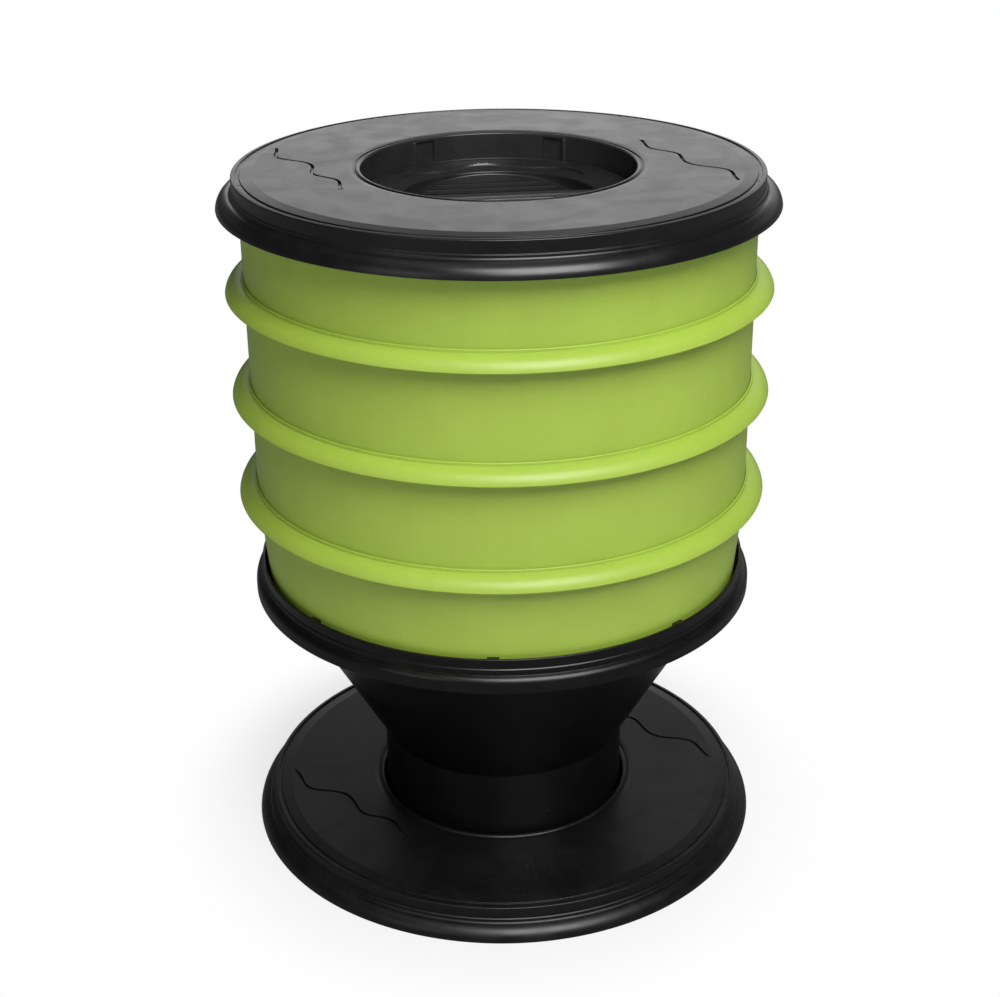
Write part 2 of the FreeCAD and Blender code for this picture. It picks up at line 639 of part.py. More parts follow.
def tap_nut():
    """Hexagonal nut on the tap's shank, inside the collector."""
    start = BOSS_BACK - WASHER_THICKNESS - NUT_THICKNESS
    corners = []
    for index in range(7):
        corner = polar(NUT_RADIUS, 60 * index)
        corners.append(Vector(corner.x, start, TAP_LEVEL + corner.y))
    block = Part.Face(Part.makePolygon(corners)).extrude(Vector(0, NUT_THICKNESS, 0))
    return block.cut(along_y(SHANK_RADIUS + NUT_GAP, start, start + NUT_THICKNESS, TAP_LEVEL))


def tap_body():
    """Shank, flange, tube, upright barrel and spout of the tap, bored through."""
    flange = along_y(TAP_FLANGE_RADIUS, TAP_FACE, TAP_FACE + TAP_FLANGE_THICKNESS, TAP_LEVEL)
    shank = along_y(SHANK_RADIUS, SHANK_END, TAP_FACE, TAP_LEVEL)
    tube = along_y(TAP_TUBE_RADIUS, TAP_FACE, SPOUT_Y, TAP_LEVEL)
    nose = Part.makeSphere(TAP_TUBE_RADIUS, Vector(0, SPOUT_Y, TAP_LEVEL))
    barrel = upright(BARREL_RADIUS, 0, BARREL_Y, TAP_LEVEL - BARREL_RISE, BARREL_TOP)
    spout = upright(SPOUT_RADIUS, 0, SPOUT_Y, TAP_LEVEL - SPOUT_DROP, TAP_LEVEL)
    body = flange.fuse([shank, tube, nose, barrel, spout])
    way = along_y(TAP_BORE_RADIUS, SHANK_END, SPOUT_Y, TAP_LEVEL)
    bend = Part.makeSphere(TAP_BORE_RADIUS, Vector(0, SPOUT_Y, TAP_LEVEL))
    outlet = upright(TAP_BORE_RADIUS, 0, SPOUT_Y, TAP_LEVEL - SPOUT_DROP, TAP_LEVEL)
    seat = upright(PLUG_RADIUS + PLUG_GAP, 0, BARREL_Y, TAP_LEVEL - BARREL_RISE + BARREL_FLOOR, BARREL_TOP)
    return body.cut([way, bend, outlet, seat]).removeSplitter()


LEVER_BOTTOM = BARREL_TOP + LEVER_GAP
LEVER_TOP = LEVER_BOTTOM + LEVER_THICKNESS


def tap_plug():
    """Round plug with a cross bore, turned closed at rest."""
    bottom = TAP_LEVEL - BARREL_RISE + BARREL_FLOOR + LEVER_GAP
    plug = upright(PLUG_RADIUS, 0, BARREL_Y, bottom, LEVER_BOTTOM)
    start = Vector(-2 * PLUG_RADIUS, BARREL_Y, TAP_LEVEL)
    cross = Part.makeCylinder(TAP_BORE_RADIUS, 4 * PLUG_RADIUS, start, Vector(1, 0, 0))
    screw_hole = upright(SCREW_RADIUS + SCREW_GAP, 0, BARREL_Y, LEVER_TOP - SCREW_LENGTH, LEVER_BOTTOM)
    return plug.cut([cross, screw_hole])


def tap_lever():
    """Flat lever on the plug, pointing sideways while the tap is closed."""
    hub = upright(BARREL_RADIUS, 0, BARREL_Y, LEVER_BOTTOM, LEVER_TOP)
    half = LEVER_WIDTH / 2
    arm = box_at((0, BARREL_Y - half, LEVER_BOTTOM), (LEVER_LENGTH - half, BARREL_Y + half, LEVER_TOP))
    tip = upright(half, LEVER_LENGTH - half, BARREL_Y, LEVER_BOTTOM, LEVER_TOP)
    screw_hole = upright(SCREW_RADIUS + SCREW_GAP, 0, BARREL_Y, LEVER_BOTTOM, LEVER_TOP)
    return hub.fuse([arm, tip]).cut(screw_hole).removeSplitter()


def lever_screw():
    """Slotted screw that holds the lever on the plug."""
    shaft = upright(SCREW_RADIUS, 0, BARREL_Y, LEVER_TOP - SCREW_LENGTH, LEVER_TOP)
    head = upright(SCREW_HEAD_RADIUS, 0, BARREL_Y, LEVER_TOP, LEVER_TOP + SCREW_HEAD_HEIGHT)
    half = SCREW_SLOT / 2
    top = LEVER_TOP + SCREW_HEAD_HEIGHT
    low = (-SCREW_HEAD_RADIUS, BARREL_Y - half, top - SCREW_SLOT)
    slot = box_at(low, (SCREW_HEAD_RADIUS, BARREL_Y + half, top))
    return shaft.fuse(head).cut(slot)


def build():
    """Every piece in its place, by name."""
    moulding = plate()
    pieces = {
        "base_plate": turned(moulding, BASE_TURN),
        "collector": collector(),
        "tray_1": first_tray(),
        "lid": moulding.translated(Vector(0, 0, LID_BOTTOM)),
        "lid_cap": lid_cap(),
        "cap_seal": cap_seal(),
        "tap_body": tap_body(),
        "tap_plug": tap_plug(),
        "tap_lever": tap_lever(),
        "lever_screw": lever_screw(),
        "tap_nut": tap_nut(),
        "tap_inner_washer": washer(BOSS_BACK - WASHER_THICKNESS, BOSS_BACK),
        "tap_outer_washer": washer(BOSS_FACE, TAP_FACE),
    }
    for index in range(1, len(RIM_LEVELS)):
        pieces[f"tray_{index + 1}"] = stacked_tray(RIM_LEVELS[index], RIM_LEVELS[index - 1])
    return pieces


os.makedirs("parts", exist_ok=True)
for name, piece in build().items():
    piece.exportStep(f"parts/{name}.step")
    box = piece.BoundBox
    print(f"{name}: valid {piece.isValid()}, {len(piece.Solids)} solid, {piece.Volume / 1000:.1f} cm3, "
          f"z {box.ZMin:.2f} to {box.ZMax:.2f}")
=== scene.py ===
"""The wormery's looks: turned mouldings, perforated floors, satin plastics, a pale floor and soft light."""

import logging
import math
from collections.abc import Callable
from dataclasses import dataclass
from enum import Enum, auto

import bmesh
import bpy
from mathutils import Matrix, Vector


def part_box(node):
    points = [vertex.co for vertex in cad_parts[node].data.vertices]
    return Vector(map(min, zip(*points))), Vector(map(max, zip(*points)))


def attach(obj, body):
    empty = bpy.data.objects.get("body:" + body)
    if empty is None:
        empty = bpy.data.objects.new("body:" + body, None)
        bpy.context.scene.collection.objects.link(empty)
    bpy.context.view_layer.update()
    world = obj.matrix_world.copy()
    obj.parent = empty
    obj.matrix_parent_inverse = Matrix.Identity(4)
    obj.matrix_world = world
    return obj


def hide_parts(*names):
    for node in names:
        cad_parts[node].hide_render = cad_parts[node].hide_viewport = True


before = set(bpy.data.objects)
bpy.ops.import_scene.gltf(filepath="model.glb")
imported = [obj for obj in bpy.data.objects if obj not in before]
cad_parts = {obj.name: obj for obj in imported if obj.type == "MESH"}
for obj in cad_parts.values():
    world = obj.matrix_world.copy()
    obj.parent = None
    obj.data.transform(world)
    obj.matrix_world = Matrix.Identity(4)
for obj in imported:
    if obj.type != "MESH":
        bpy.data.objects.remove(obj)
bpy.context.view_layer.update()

LOG = logging.getLogger("wormery")

# Sizes below are in millimetres and bearings in degrees, unless a line says otherwise
MM = 0.001
WELD = 0.004
SEGMENTS = 288
SHARP = math.radians(38)

# Sizes that several pieces share
WALL = 2.4
LIP_HEIGHT = 14.5
SEAT_DROP = 3.0
FLANGE_ROUND = 14.1
FLANGE_SINK = 2.6

Point = tuple[float, float]
Point3 = tuple[float, float, float]
Loop = list[Vector]
Socket = bpy.types.NodeSocket


class Feature(Enum):
    """Stretches of a turned section that something other than a circle shapes."""

    PLAIN = auto()
    POCKET = auto()
    POCKET_HEAD = auto()
    RIB_HEAD = auto()
    TAB_INNER = auto()
    TAB_TOP = auto()
    DISH = auto()
    HEXAGON = auto()


class Slot(Enum):
    """Material slots of the record."""

    TRAY = "tray_green"
    BASE = "base_black"
    COLLECTOR = "collector_black"
    LID = "lid_black"
    CAP = "cap_black"
    TAP = "tap_black"
    LEVER = "tap_lever_green"
    SEAL = "seal_rubber"
    SCREW = "screw_steel"


@dataclass(frozen=True)
class Corner:
    """One point of a half section.

    Args:
        radius: distance from the axis.
        height: place along the axis.
        fillet: radius of the rounding, 0 for a plain point.
        feature: what shapes this point as the section goes round.
        tangent: whether a rounding meets a straight stretch here.
    """

    radius: float
    height: float
    fillet: float = 0.0
    feature: Feature = Feature.PLAIN
    tangent: bool = False


class Section:
    """Half section of a turned shell, drawn corner by corner."""

    # Widest step of a rounding, least run that gets support points, and how far they stand from its ends
    STEP = math.radians(15)
    LONG = 3.0
    SUPPORT = 0.4
    # Longest share of a side that a rounding takes, and the least turn that is rounded
    TAKEN = 0.45
    LEAST_TURN = math.radians(2)

    def __init__(self, closed: bool = True) -> None:
        """Start an empty section, closed on itself or open between its two ends."""
        self.closed = closed
        self.corners: list[Corner] = []

    def to(self, radius: float, height: float, fillet: float = 0.0,
           feature: Feature = Feature.PLAIN) -> "Section":
        """Add one corner and return the section."""
        self.corners.append(Corner(radius, height, fillet, feature))
        return self

    def arc(self, centre: Point, radius: float, start: float, end: float, steps: int) -> "Section":
        """Add points on a circle.

        Args:
            centre: centre of the circle.
            radius: its radius.
            start: angle of the first point in degrees, from outwards to up.
            end: angle of the last point.
            steps: number of chords.

        Returns:
            The section itself.
        """
        for index in range(steps + 1):
            angle = math.radians(start + (end - start) * index / steps)
            point = centre[0] + radius * math.cos(angle), centre[1] + radius * math.sin(angle)
            ends = index in (0, steps)
            self.corners.append(Corner(*point, tangent=ends))
        return self

    def through(self, middle: Point, end: Point, steps: int) -> "Section":
        """Add an arc from the last corner through a middle point to an end point.

        Args:
            middle: a point on the arc.
            end: its last point.
            steps: number of chords.

        Returns:
            The section itself.
        """
        first, second, third = (Vector((*spot, 0.0)) for spot in
                                ((self.corners[-1].radius, self.corners[-1].height), middle, end))
        normal = (second - first).cross(third - first).normalized()
        chord, lean = (third - first) / 2, (second - first) / 2
        side = normal.cross(chord).normalized()
        reach = (lean - chord).dot(lean) / side.dot(lean)
        centre = first + chord + side * reach
        spoke = first - centre
        sweep = spoke.angle(third - centre)
        for index in range(1, steps + 1):
            turned = Matrix.Rotation(sweep * index / steps, 3, normal) @ spoke
            self.corners.append(Corner(centre.x + turned.x, centre.y + turned.y, tangent=index == steps))
        return self

    def _rounded(self, before: Corner, corner: Corner, after: Corner) -> list[Corner]:
        """Points of the rounding at one corner."""
        place = Vector((corner.radius, corner.height))
        back = Vector((before.radius, before.height)) - place
        ahead = Vector((after.radius, after.height)) - place
        half = back.angle(ahead) / 2
        reach = min(corner.fillet / math.tan(half), self.TAKEN * back.length, self.TAKEN * ahead.length)
        radius = reach * math.tan(half)
        sweep = math.pi - 2 * half
        if radius < 1e-4 or sweep < self.LEAST_TURN:
            return [corner]
        start = place + back.normalized() * reach
        end = place + ahead.normalized() * reach
        centre = place + (back.normalized() + ahead.normalized()).normalized() * radius / math.sin(half)
        steps = max(2, math.ceil(sweep / self.STEP))
        points = []
        for index in range(steps + 1):
            share = index / steps
            spot = centre + (start - centre).slerp(end - centre, share) * radius
            points.append(Corner(spot.x, spot.y, feature=corner.feature, tangent=index in (0, steps)))
        return points

    def points(self) -> list[Corner]:
        """All points in order, with roundings and with support points beside them."""
        found: list[Corner] = []
        count = len(self.corners)
        for index, corner in enumerate(self.corners):
            inner = self.closed or 0 < index < count - 1
            if corner.fillet and inner:
                found += self._rounded(self.corners[index - 1], corner, self.corners[(index + 1) % count])
            else:
                found.append(corner)
        result: list[Corner] = []
        for index, corner in enumerate(found):
            result.append(corner)
            if index == len(found) - 1 and not self.closed:
                break
            after = found[(index + 1) % len(found)]
            run = Vector((after.radius - corner.radius, after.height - corner.height))
            if run.length < self.LONG:
                continue
            step = run.normalized() * self.SUPPORT
            feature = corner.feature if corner.feature == after.feature else Feature.PLAIN
            if corner.tangent:
                result.append(Corner(corner.radius + step.x, corner.height + step.y, feature=feature))
            if after.tangent:
                result.append(Corner(after.radius - step.x, after.height - step.y, feature=feature))
        return result


Shift = Callable[[Corner, float], Point]


def even_bearings(count: int) -> list[float]:
    """Evenly spaced bearings in degrees, counted from +X towards +Y."""
    return [360 * index / count for index in range(count)]


def apart(bearing: float, other: float) -> float:
    """Signed angle between two bearings, the short way round."""
    return (bearing - other + 180) % 360 - 180


def with_even(marks: list[float], gap: float) -> list[float]:
    """The marked bearings and all even ones that stand further than a gap from them, in order."""
    kept = [mark % 360 for mark in marks]
    for even in even_bearings(SEGMENTS):
        if all(abs(apart(even, mark)) > gap for mark in kept):
            kept.append(even)
    return sorted(kept)


def polar(radius: float, bearing: float, height: float = 0.0) -> Vector:
    """Point at a radius, a bearing in degrees and a height."""
    angle = math.radians(bearing)
    return Vector((radius * math.cos(angle), radius * math.sin(angle), height))


class Shell:
    """A mesh in the making, in millimetres."""

    def __init__(self) -> None:
        """Start an empty shell."""
        self.mesh = bmesh.new()

    def loft(self, rings: list[Loop], around: bool = True, along: bool = False, caps: bool = False) -> None:
        """Join rings of equally many points with quads.

        Args:
            rings: the rings, each a list of points.
            around: whether each ring is closed.
            along: whether the last ring joins the first.
            caps: whether the first and the last ring are filled.
        """
        rows = [[self.mesh.verts.new(point) for point in ring] for ring in rings]
        size = len(rows[0])
        for index in range(len(rows) if along else len(rows) - 1):
            near = rows[index]
            far = rows[(index + 1) % len(rows)]
            for side in range(size if around else size - 1):
                after = (side + 1) % size
                self.mesh.faces.new((near[side], near[after], far[after], far[side]))
        if caps:
            self.mesh.faces.new(rows[0])
            self.mesh.faces.new(list(reversed(rows[-1])))

    def turn(self, section: Section, bearings: list[float], shift: Shift | None = None) -> None:
        """Turn a section about the Z axis.

        Args:
            section: the half section.
            bearings: the bearings in degrees at which it stands.
            shift: moves a featured corner in radius and height at a bearing.
        """
        rings: list[Loop] = []
        for corner in section.points():
            ring: Loop = []
            for bearing in bearings:
                out, up = 0.0, 0.0
                if shift and corner.feature is not Feature.PLAIN:
                    out, up = shift(corner, bearing)
                ring.append(polar(corner.radius + out, bearing, corner.height + up))
            rings.append(ring)
        self.loft(rings, along=section.closed)

    def fill(self, loops: list[Loop]) -> None:
        """Fill the flat area between an outer loop and the holes in it."""
        edges = []
        for loop in loops:
            row = [self.mesh.verts.new(point) for point in loop]
            edges += [self.mesh.edges.new((row[index - 1], row[index])) for index in range(len(row))]
        bmesh.ops.triangle_fill(self.mesh, edges=edges, use_beauty=True, normal=(0, 0, 1))

    def move(self, matrix: Matrix) -> None:
        """Move or turn everything made so far."""
        self.mesh.transform(matrix)

    def finish(self, name: str, material: bpy.types.Material) -> bpy.types.Object:
        """Weld the shell, turn its faces outwards and make it an object in metres.

        Args:
            name: the piece's name.
            material: its finish.

        Returns:
            The new object, at the origin.
        """
        bmesh.ops.remove_doubles(self.mesh, verts=self.mesh.verts, dist=WELD)
        bmesh.ops.dissolve_degenerate(self.mesh, edges=self.mesh.edges, dist=WELD / 4)
        bmesh.ops.recalc_face_normals(self.mesh, faces=self.mesh.faces)
        self.mesh.transform(Matrix.Scale(MM, 4))
        data = bpy.data.meshes.new(name)
        self.mesh.to_mesh(data)
        self.mesh.free()
        data.materials.append(material)
        piece = bpy.data.objects.new(name, data)
        bpy.context.scene.collection.objects.link(piece)
        smooth(piece)
        return piece


def smooth(piece: bpy.types.Object) -> None:
    """Shade a piece smooth, with sharp edges where its faces turn steeply."""
    piece.data.polygons.foreach_set("use_smooth", [True] * len(piece.data.polygons))
    piece.data.set_sharp_from_angle(angle=SHARP)


def settle(piece: bpy.types.Object, modifier: bpy.types.Modifier) -> None:
    """Make a modifier's result the piece's own mesh, in the piece's one material."""
    bpy.context.view_layer.update()
    evaluated = piece.evaluated_get(bpy.context.evaluated_depsgraph_get())
    made = bpy.data.meshes.new_from_object(evaluated)
    piece.modifiers.remove(modifier)
    material = piece.data.materials[0]
    old = piece.data
    piece.data = made
    bpy.data.meshes.remove(old)
    made.name = piece.name
    made.materials.clear()
    made.materials.append(material)
    smooth(piece)


def combine(piece: bpy.types.Object, tool: bpy.types.Object, operation: str) -> None:
    """Add a tool's shape to a piece, or cut it away, and remove the tool."""
    modifier = piece.modifiers.new("combine", "BOOLEAN")
    modifier.operation = operation
    modifier.object = tool
    modifier.solver = "EXACT"
    settle(piece, modifier)
    bpy.data.objects.remove(tool)


class Graph:
    """Adds nodes and links to one node tree with short calls."""

    def __init__(self, tree: bpy.types.NodeTree) -> None:
        """Take the tree to build in."""
        self.tree = tree

    def add(self, kind: str, inputs: dict[str | int, object] | None = None,
            **settings: object) -> bpy.types.Node:
        """Add a node.

        Args:
            kind: Blender's name for the node type.
            inputs: values or linked sockets by input name or number.
            settings: the node's own properties.

        Returns:
            The node.
        """
        node = self.tree.nodes.new(kind)
        for key, value in settings.items():
            setattr(node, key, value)
        self.feed(node, inputs or {})
        return node

    def feed(self, node: bpy.types.Node, inputs: dict[str | int, object]) -> None:
        """Link or set a node's inputs by name or number."""
        for key, value in inputs.items():
            if isinstance(value, Socket):
                self.tree.links.new(value, node.inputs[key])
            else:
                node.inputs[key].default_value = value

    def maths(self, operation: str, first: object, second: object = 0.0) -> Socket:
        """Result of one sum on two numbers or sockets."""
        return self.add("ShaderNodeMath", {0: first, 1: second}, operation=operation).outputs[0]

    def plus(self, first: object, second: object) -> Socket:
        """Sum of two numbers or sockets."""
        return self.maths("ADD", first, second)

    def minus(self, first: object, second: object) -> Socket:
        """The first number or socket less the second."""
        return self.maths("SUBTRACT", first, second)

    def times(self, first: object, second: object) -> Socket:
        """Product of two numbers or sockets."""
        return self.maths("MULTIPLY", first, second)

    def vector(self, x: object = 0.0, y: object = 0.0, z: object = 0.0) -> Socket:
        """A vector from its three parts."""
        return self.add("ShaderNodeCombineXYZ", {0: x, 1: y, 2: z}).outputs[0]

    def length(self, vector: object) -> Socket:
        """A vector's length."""
        return self.add("ShaderNodeVectorMath", {0: vector}, operation="LENGTH").outputs["Value"]

    def mapped(self, place: object, **values: Point3) -> Socket:
        """A place turned or stretched by a Mapping node's named values."""
        return self.add("ShaderNodeMapping", {"Vector": place} | values).outputs[0]

    def grey(self, value: object) -> Socket:
        """A grey colour of a given value."""
        return self.add("ShaderNodeCombineColor", {0: value, 1: value, 2: value}).outputs[0]

    def ramp(self, value: object, low: float, high: float, start: float = 0.0, end: float = 1.0) -> Socket:
        """Map a value smoothly from low to high onto start to end."""
        inputs = {"Value": value, "From Min": low, "From Max": high, "To Min": start, "To Max": end}
        return self.add("ShaderNodeMapRange", inputs, interpolation_type="SMOOTHSTEP").outputs["Result"]

    def noise(self, place: object, scale: float, detail: float = 3.0, rough: float = 0.55,
              distortion: float = 0.0) -> Socket:
        """Soft noise between 0 and 1."""
        inputs = {"Vector": place, "Scale": scale, "Detail": detail, "Roughness": rough,
                  "Distortion": distortion}
        return self.add("ShaderNodeTexNoise", inputs).outputs[0]

    def blend(self, share: object, first: object, second: object, mode: str = "MIX") -> Socket:
        """Blend two colours."""
        node = self.add("ShaderNodeMix", data_type="RGBA", blend_type=mode)
        self.feed(node, {0: share, 6: first, 7: second})
        return node.outputs[2]

    def dress(self, shader: bpy.types.Node, colour: object, rough: object, height: object,
              grain: float) -> None:
        """Give a shader its colour, its roughness and a grain of some depth in millimetres."""
        bump = self.add("ShaderNodeBump", {"Strength": 1.0, "Distance": grain * MM, "Height": height})
        self.feed(shader, {"Base Color": colour, "Roughness": rough, "Normal": bump.outputs[0]})


def tone(red: float, green: float, blue: float, gain: float = 1.0) -> tuple[float, float, float, float]:
    """A linear colour with its alpha, made lighter or darker by a gain."""
    return red * gain, green * gain, blue * gain, 1.0


@dataclass(frozen=True)
class MouldedPlastic:
    """Injection moulded plastic with cloudy tone, flow streaks, grain, scuffs, specks and painted bounce
    light inside the collar.

    Args:
        name: the material's name.
        colour: mean linear colour.
        clouding: how far the tone drifts, as a share of the colour.
        cloud_size: width of the clouds in millimetres.
        roughness: mean roughness.
        sheen_drift: how far the roughness drifts.
        grain: depth of the fine grain in millimetres.
        grain_size: width of the grain in millimetres.
        streaking: strength of the upright flow streaks.
        specular: strength of the reflection at the surface.
        scuffs: how pale the fine scuffs are, 0 for none.
        specks: how pale the dust specks are, 0 for none.
        inside_bounce_light: how much paler the plastic is inside the collar, where bounce light is painted.
    """

    name: str
    colour: Point3
    clouding: float
    cloud_size: float
    roughness: float
    sheen_drift: float
    grain: float
    grain_size: float
    streaking: float = 0.0
    specular: float = 0.5
    scuffs: float = 0.0
    specks: float = 0.0
    inside_bounce_light: float = 0.0

    # Clouds: shares of the small and the broad ones, how much broader these are, and the noise that is spread
    CLOUD_SHARES = (0.6, 0.4)
    BROADER = 3.1
    DRIFT_RANGE = (0.34, 0.66)
    SOFT_RANGE = (0.3, 0.7)

    # Flow streaks: how many to a metre, how flat the noise is pressed upright, its range, and their tone
    STREAKS = 160
    STREAK_PRESS = 0.05
    STREAK_RANGE = (0.35, 0.65)
    STREAK_TONE = 0.80

    # Orange peel below the grain: its width in grains and its share of the height
    PEEL_WIDTH = 9
    PEEL_SHARE = 1.5

    # Scuffs: the patches they keep to, turn and closeness of each lay, then width, strength and roughness
    PATCHES = 16
    PATCH_RANGE = (0.52, 0.68)
    SCUFF_LAYS = ((0.4, 26.0), (1.9, 34.0))
    SCUFF_STRETCH = 9
    SCUFF_WIDTH = 0.035
    SCUFF_SHARE = 0.4
    SCUFF_ROUGHNESS = 0.03

    # Specks: how many cells to a metre, the cells that hold one, and the widest radius in a cell
    SPECK_CELLS = 95.0
    SPECK_RANGE = (0.72, 1.0)
    SPECK_RADIUS = 0.075

    # Painted bounce light: the radii in metres between which it ends at the collar, and its least share
    BOUNCE_EDGE = (0.1208, 0.1218)
    BOUNCE_LEAST = 0.7

    def material(self) -> bpy.types.Material:
        """Build the material's nodes."""
        material = bpy.data.materials.new(self.name)
        material.use_nodes = True
        graph = Graph(material.node_tree)
        shader = material.node_tree.nodes["Principled BSDF"]
        place = graph.add("ShaderNodeTexCoord").outputs["Object"]
        per_size = 1 / (self.cloud_size * MM)
        cloud = graph.noise(place, per_size, 4.0, 0.6, 0.6)
        broad = graph.noise(place, per_size / self.BROADER, 2.0, 0.5, 0.2)
        small_share, broad_share = self.CLOUD_SHARES
        clouds = graph.plus(graph.times(cloud, small_share), graph.times(broad, broad_share))
        colour = graph.blend(graph.ramp(clouds, *self.DRIFT_RANGE), tone(*self.colour, 1 - self.clouding),
                             tone(*self.colour, 1 + self.clouding))
        rough = graph.plus(self.roughness,
                           graph.ramp(cloud, *self.SOFT_RANGE, -self.sheen_drift, self.sheen_drift))
        if self.streaking:
            colour = self._streaked(graph, place, colour)
        if self.scuffs:
            colour, rough = self._scuffed(graph, place, colour, rough)
        if self.specks:
            colour = self._specked(graph, place, colour)
        # Painted bounce light: paler plastic inside the collar
        if self.inside_bounce_light:
            colour = self._paint_bounce_light(graph, place, cloud, colour)
        fine = graph.noise(place, 1 / (self.grain_size * MM), 2.0, 0.6)
        peel = graph.noise(place, 1 / (self.PEEL_WIDTH * self.grain_size * MM), 2.0, 0.5)
        graph.dress(shader, colour, rough, graph.plus(fine, graph.times(peel, self.PEEL_SHARE)), self.grain)
        shader.inputs["Specular IOR Level"].default_value = self.specular
        return material

    def _paler(self, amount: float) -> tuple[float, float, float, float]:
        """The plastic's colour made paler by an amount."""
        return tone(*(part + amount for part in self.colour))

    def _streaked(self, graph: Graph, place: object, colour: object) -> object:
        """Faint darker streaks that run upright."""
        upright = graph.mapped(place, Scale=(1, 1, self.STREAK_PRESS))
        streak = graph.ramp(graph.noise(upright, self.STREAKS, 3.0, 0.65), *self.STREAK_RANGE)
        return graph.blend(graph.times(streak, self.streaking), colour, tone(*self.colour, self.STREAK_TONE))

    def _scuffed(self, graph: Graph, place: object, colour: object, rough: object) -> tuple[object, object]:
        """Fine pale scuff lines in a few directions, only in patches."""
        patch = graph.ramp(graph.noise(place, self.PATCHES, 2.0), *self.PATCH_RANGE)
        total: object = 0.0
        for turn, closeness in self.SCUFF_LAYS:
            scale = (closeness * self.SCUFF_STRETCH, closeness, closeness)
            lay = graph.mapped(place, Rotation=(0.2, 0.1, turn), Scale=scale)
            inputs = {"Vector": lay, "Scale": 1.0}
            lines = graph.add("ShaderNodeTexVoronoi", inputs, feature="DISTANCE_TO_EDGE")
            total = graph.plus(total, graph.ramp(lines.outputs["Distance"], 0.0, self.SCUFF_WIDTH, 1.0, 0.0))
        mask = graph.times(graph.maths("MINIMUM", total, 1.0), patch)
        colour = graph.blend(graph.times(mask, self.SCUFF_SHARE), colour, self._paler(self.scuffs))
        return colour, graph.plus(rough, graph.times(mask, self.SCUFF_ROUGHNESS))

    def _specked(self, graph: Graph, place: object, colour: object) -> object:
        """Tiny pale specks of dust of mixed sizes."""
        cells = graph.add("ShaderNodeTexVoronoi", {"Vector": place, "Scale": self.SPECK_CELLS})
        pick = graph.add("ShaderNodeSeparateColor", {0: cells.outputs["Color"]})
        size = graph.ramp(pick.outputs[0], *self.SPECK_RANGE, 0.0, self.SPECK_RADIUS)
        inside = graph.maths("LESS_THAN", cells.outputs["Distance"], size)
        return graph.blend(graph.times(inside, pick.outputs[1]), colour, self._paler(self.specks))

    def _paint_bounce_light(self, graph: Graph, place: object, cloud: object, colour: object) -> object:
        """Painted bounce light: the plastic made unevenly paler inside the collar."""
        away = graph.length(graph.mapped(place, Scale=(1, 1, 0)))
        inside = graph.ramp(away, *self.BOUNCE_EDGE, 1.0, 0.0)
        bounce_share = graph.times(inside, graph.ramp(cloud, *self.SOFT_RANGE, self.BOUNCE_LEAST, 1.0))
        return graph.blend(bounce_share, colour, self._paler(self.inside_bounce_light))


@dataclass(frozen=True)
class PlainFinish:
    """Rubber or metal with a fine uneven surface.

    Args:
        name: the material's name.
        colour: linear colour.
        roughness: mean roughness.
        metallic: 1 for metal.
        grain: depth of the surface's grain in millimetres.
    """

    name: str
    colour: Point3
    roughness: float
    metallic: float = 0.0
    grain: float = 0.02

    # Clouds and grains to a metre, and how far the roughness drifts
    CLOUDS = 120
    GRAINS = 1500
    SHEEN_DRIFT = 0.05

    def material(self) -> bpy.types.Material:
        """Build the material's nodes."""
        material = bpy.data.materials.new(self.name)
        material.use_nodes = True
        graph = Graph(material.node_tree)
        shader = material.node_tree.nodes["Principled BSDF"]
        place = graph.add("ShaderNodeTexCoord").outputs["Object"]
        cloud = graph.noise(place, self.CLOUDS, 3.0)
        colour = graph.blend(cloud, tone(*self.colour, 0.8), tone(*self.colour, 1.2))
        rough = graph.plus(self.roughness, graph.ramp(cloud, 0.3, 0.7, -self.SHEEN_DRIFT, self.SHEEN_DRIFT))
        graph.dress(shader, colour, rough, graph.noise(place, self.GRAINS, 2.0), self.grain)
        shader.inputs["Metallic"].default_value = self.metallic
        return material


LIME = (0.345, 0.490, 0.062)

FINISHES: dict[Slot, MouldedPlastic | PlainFinish] = {
    Slot.TRAY: MouldedPlastic("lime_plastic", LIME, clouding=0.035, cloud_size=70, roughness=0.42,
                              sheen_drift=0.03, grain=0.012, grain_size=0.8, streaking=0.10),
    # The lid's plastic has bounce light painted inside its collar
    Slot.LID: MouldedPlastic("lid_plastic", (0.0068, 0.0066, 0.0070), clouding=0.15, cloud_size=34,
                             roughness=0.31, sheen_drift=0.03, grain=0.012, grain_size=0.8, scuffs=0.012,
                             inside_bounce_light=0.018),
    Slot.CAP: MouldedPlastic("cap_plastic", (0.014, 0.014, 0.0142), clouding=0.15, cloud_size=30,
                             roughness=0.31, sheen_drift=0.04, grain=0.008, grain_size=0.8),
    Slot.BASE: MouldedPlastic("base_plastic", (0.0055, 0.0052, 0.0054), clouding=0.2, cloud_size=40,
                              roughness=0.38, sheen_drift=0.05, grain=0.02, grain_size=0.8, specular=0.45,
                              scuffs=0.015),
    Slot.COLLECTOR: MouldedPlastic("collector_plastic", (0.004, 0.0038, 0.004), clouding=0.2, cloud_size=40,
                                   roughness=0.33, sheen_drift=0.04, grain=0.015, grain_size=0.9,
                                   specular=0.45, specks=0.10),
    Slot.TAP: MouldedPlastic("tap_plastic", (0.03, 0.03, 0.03), clouding=0.2, cloud_size=15, roughness=0.36,
                             sheen_drift=0.04, grain=0.01, grain_size=0.5),
    Slot.LEVER: MouldedPlastic("lever_plastic", LIME, clouding=0.04, cloud_size=20, roughness=0.40,
                               sheen_drift=0.03, grain=0.01, grain_size=0.5),
    Slot.SEAL: PlainFinish("rubber", (0.02, 0.02, 0.02), roughness=0.7),
    Slot.SCREW: PlainFinish("screw_steel", (0.62, 0.62, 0.64), roughness=0.3, metallic=1.0, grain=0.005),
}


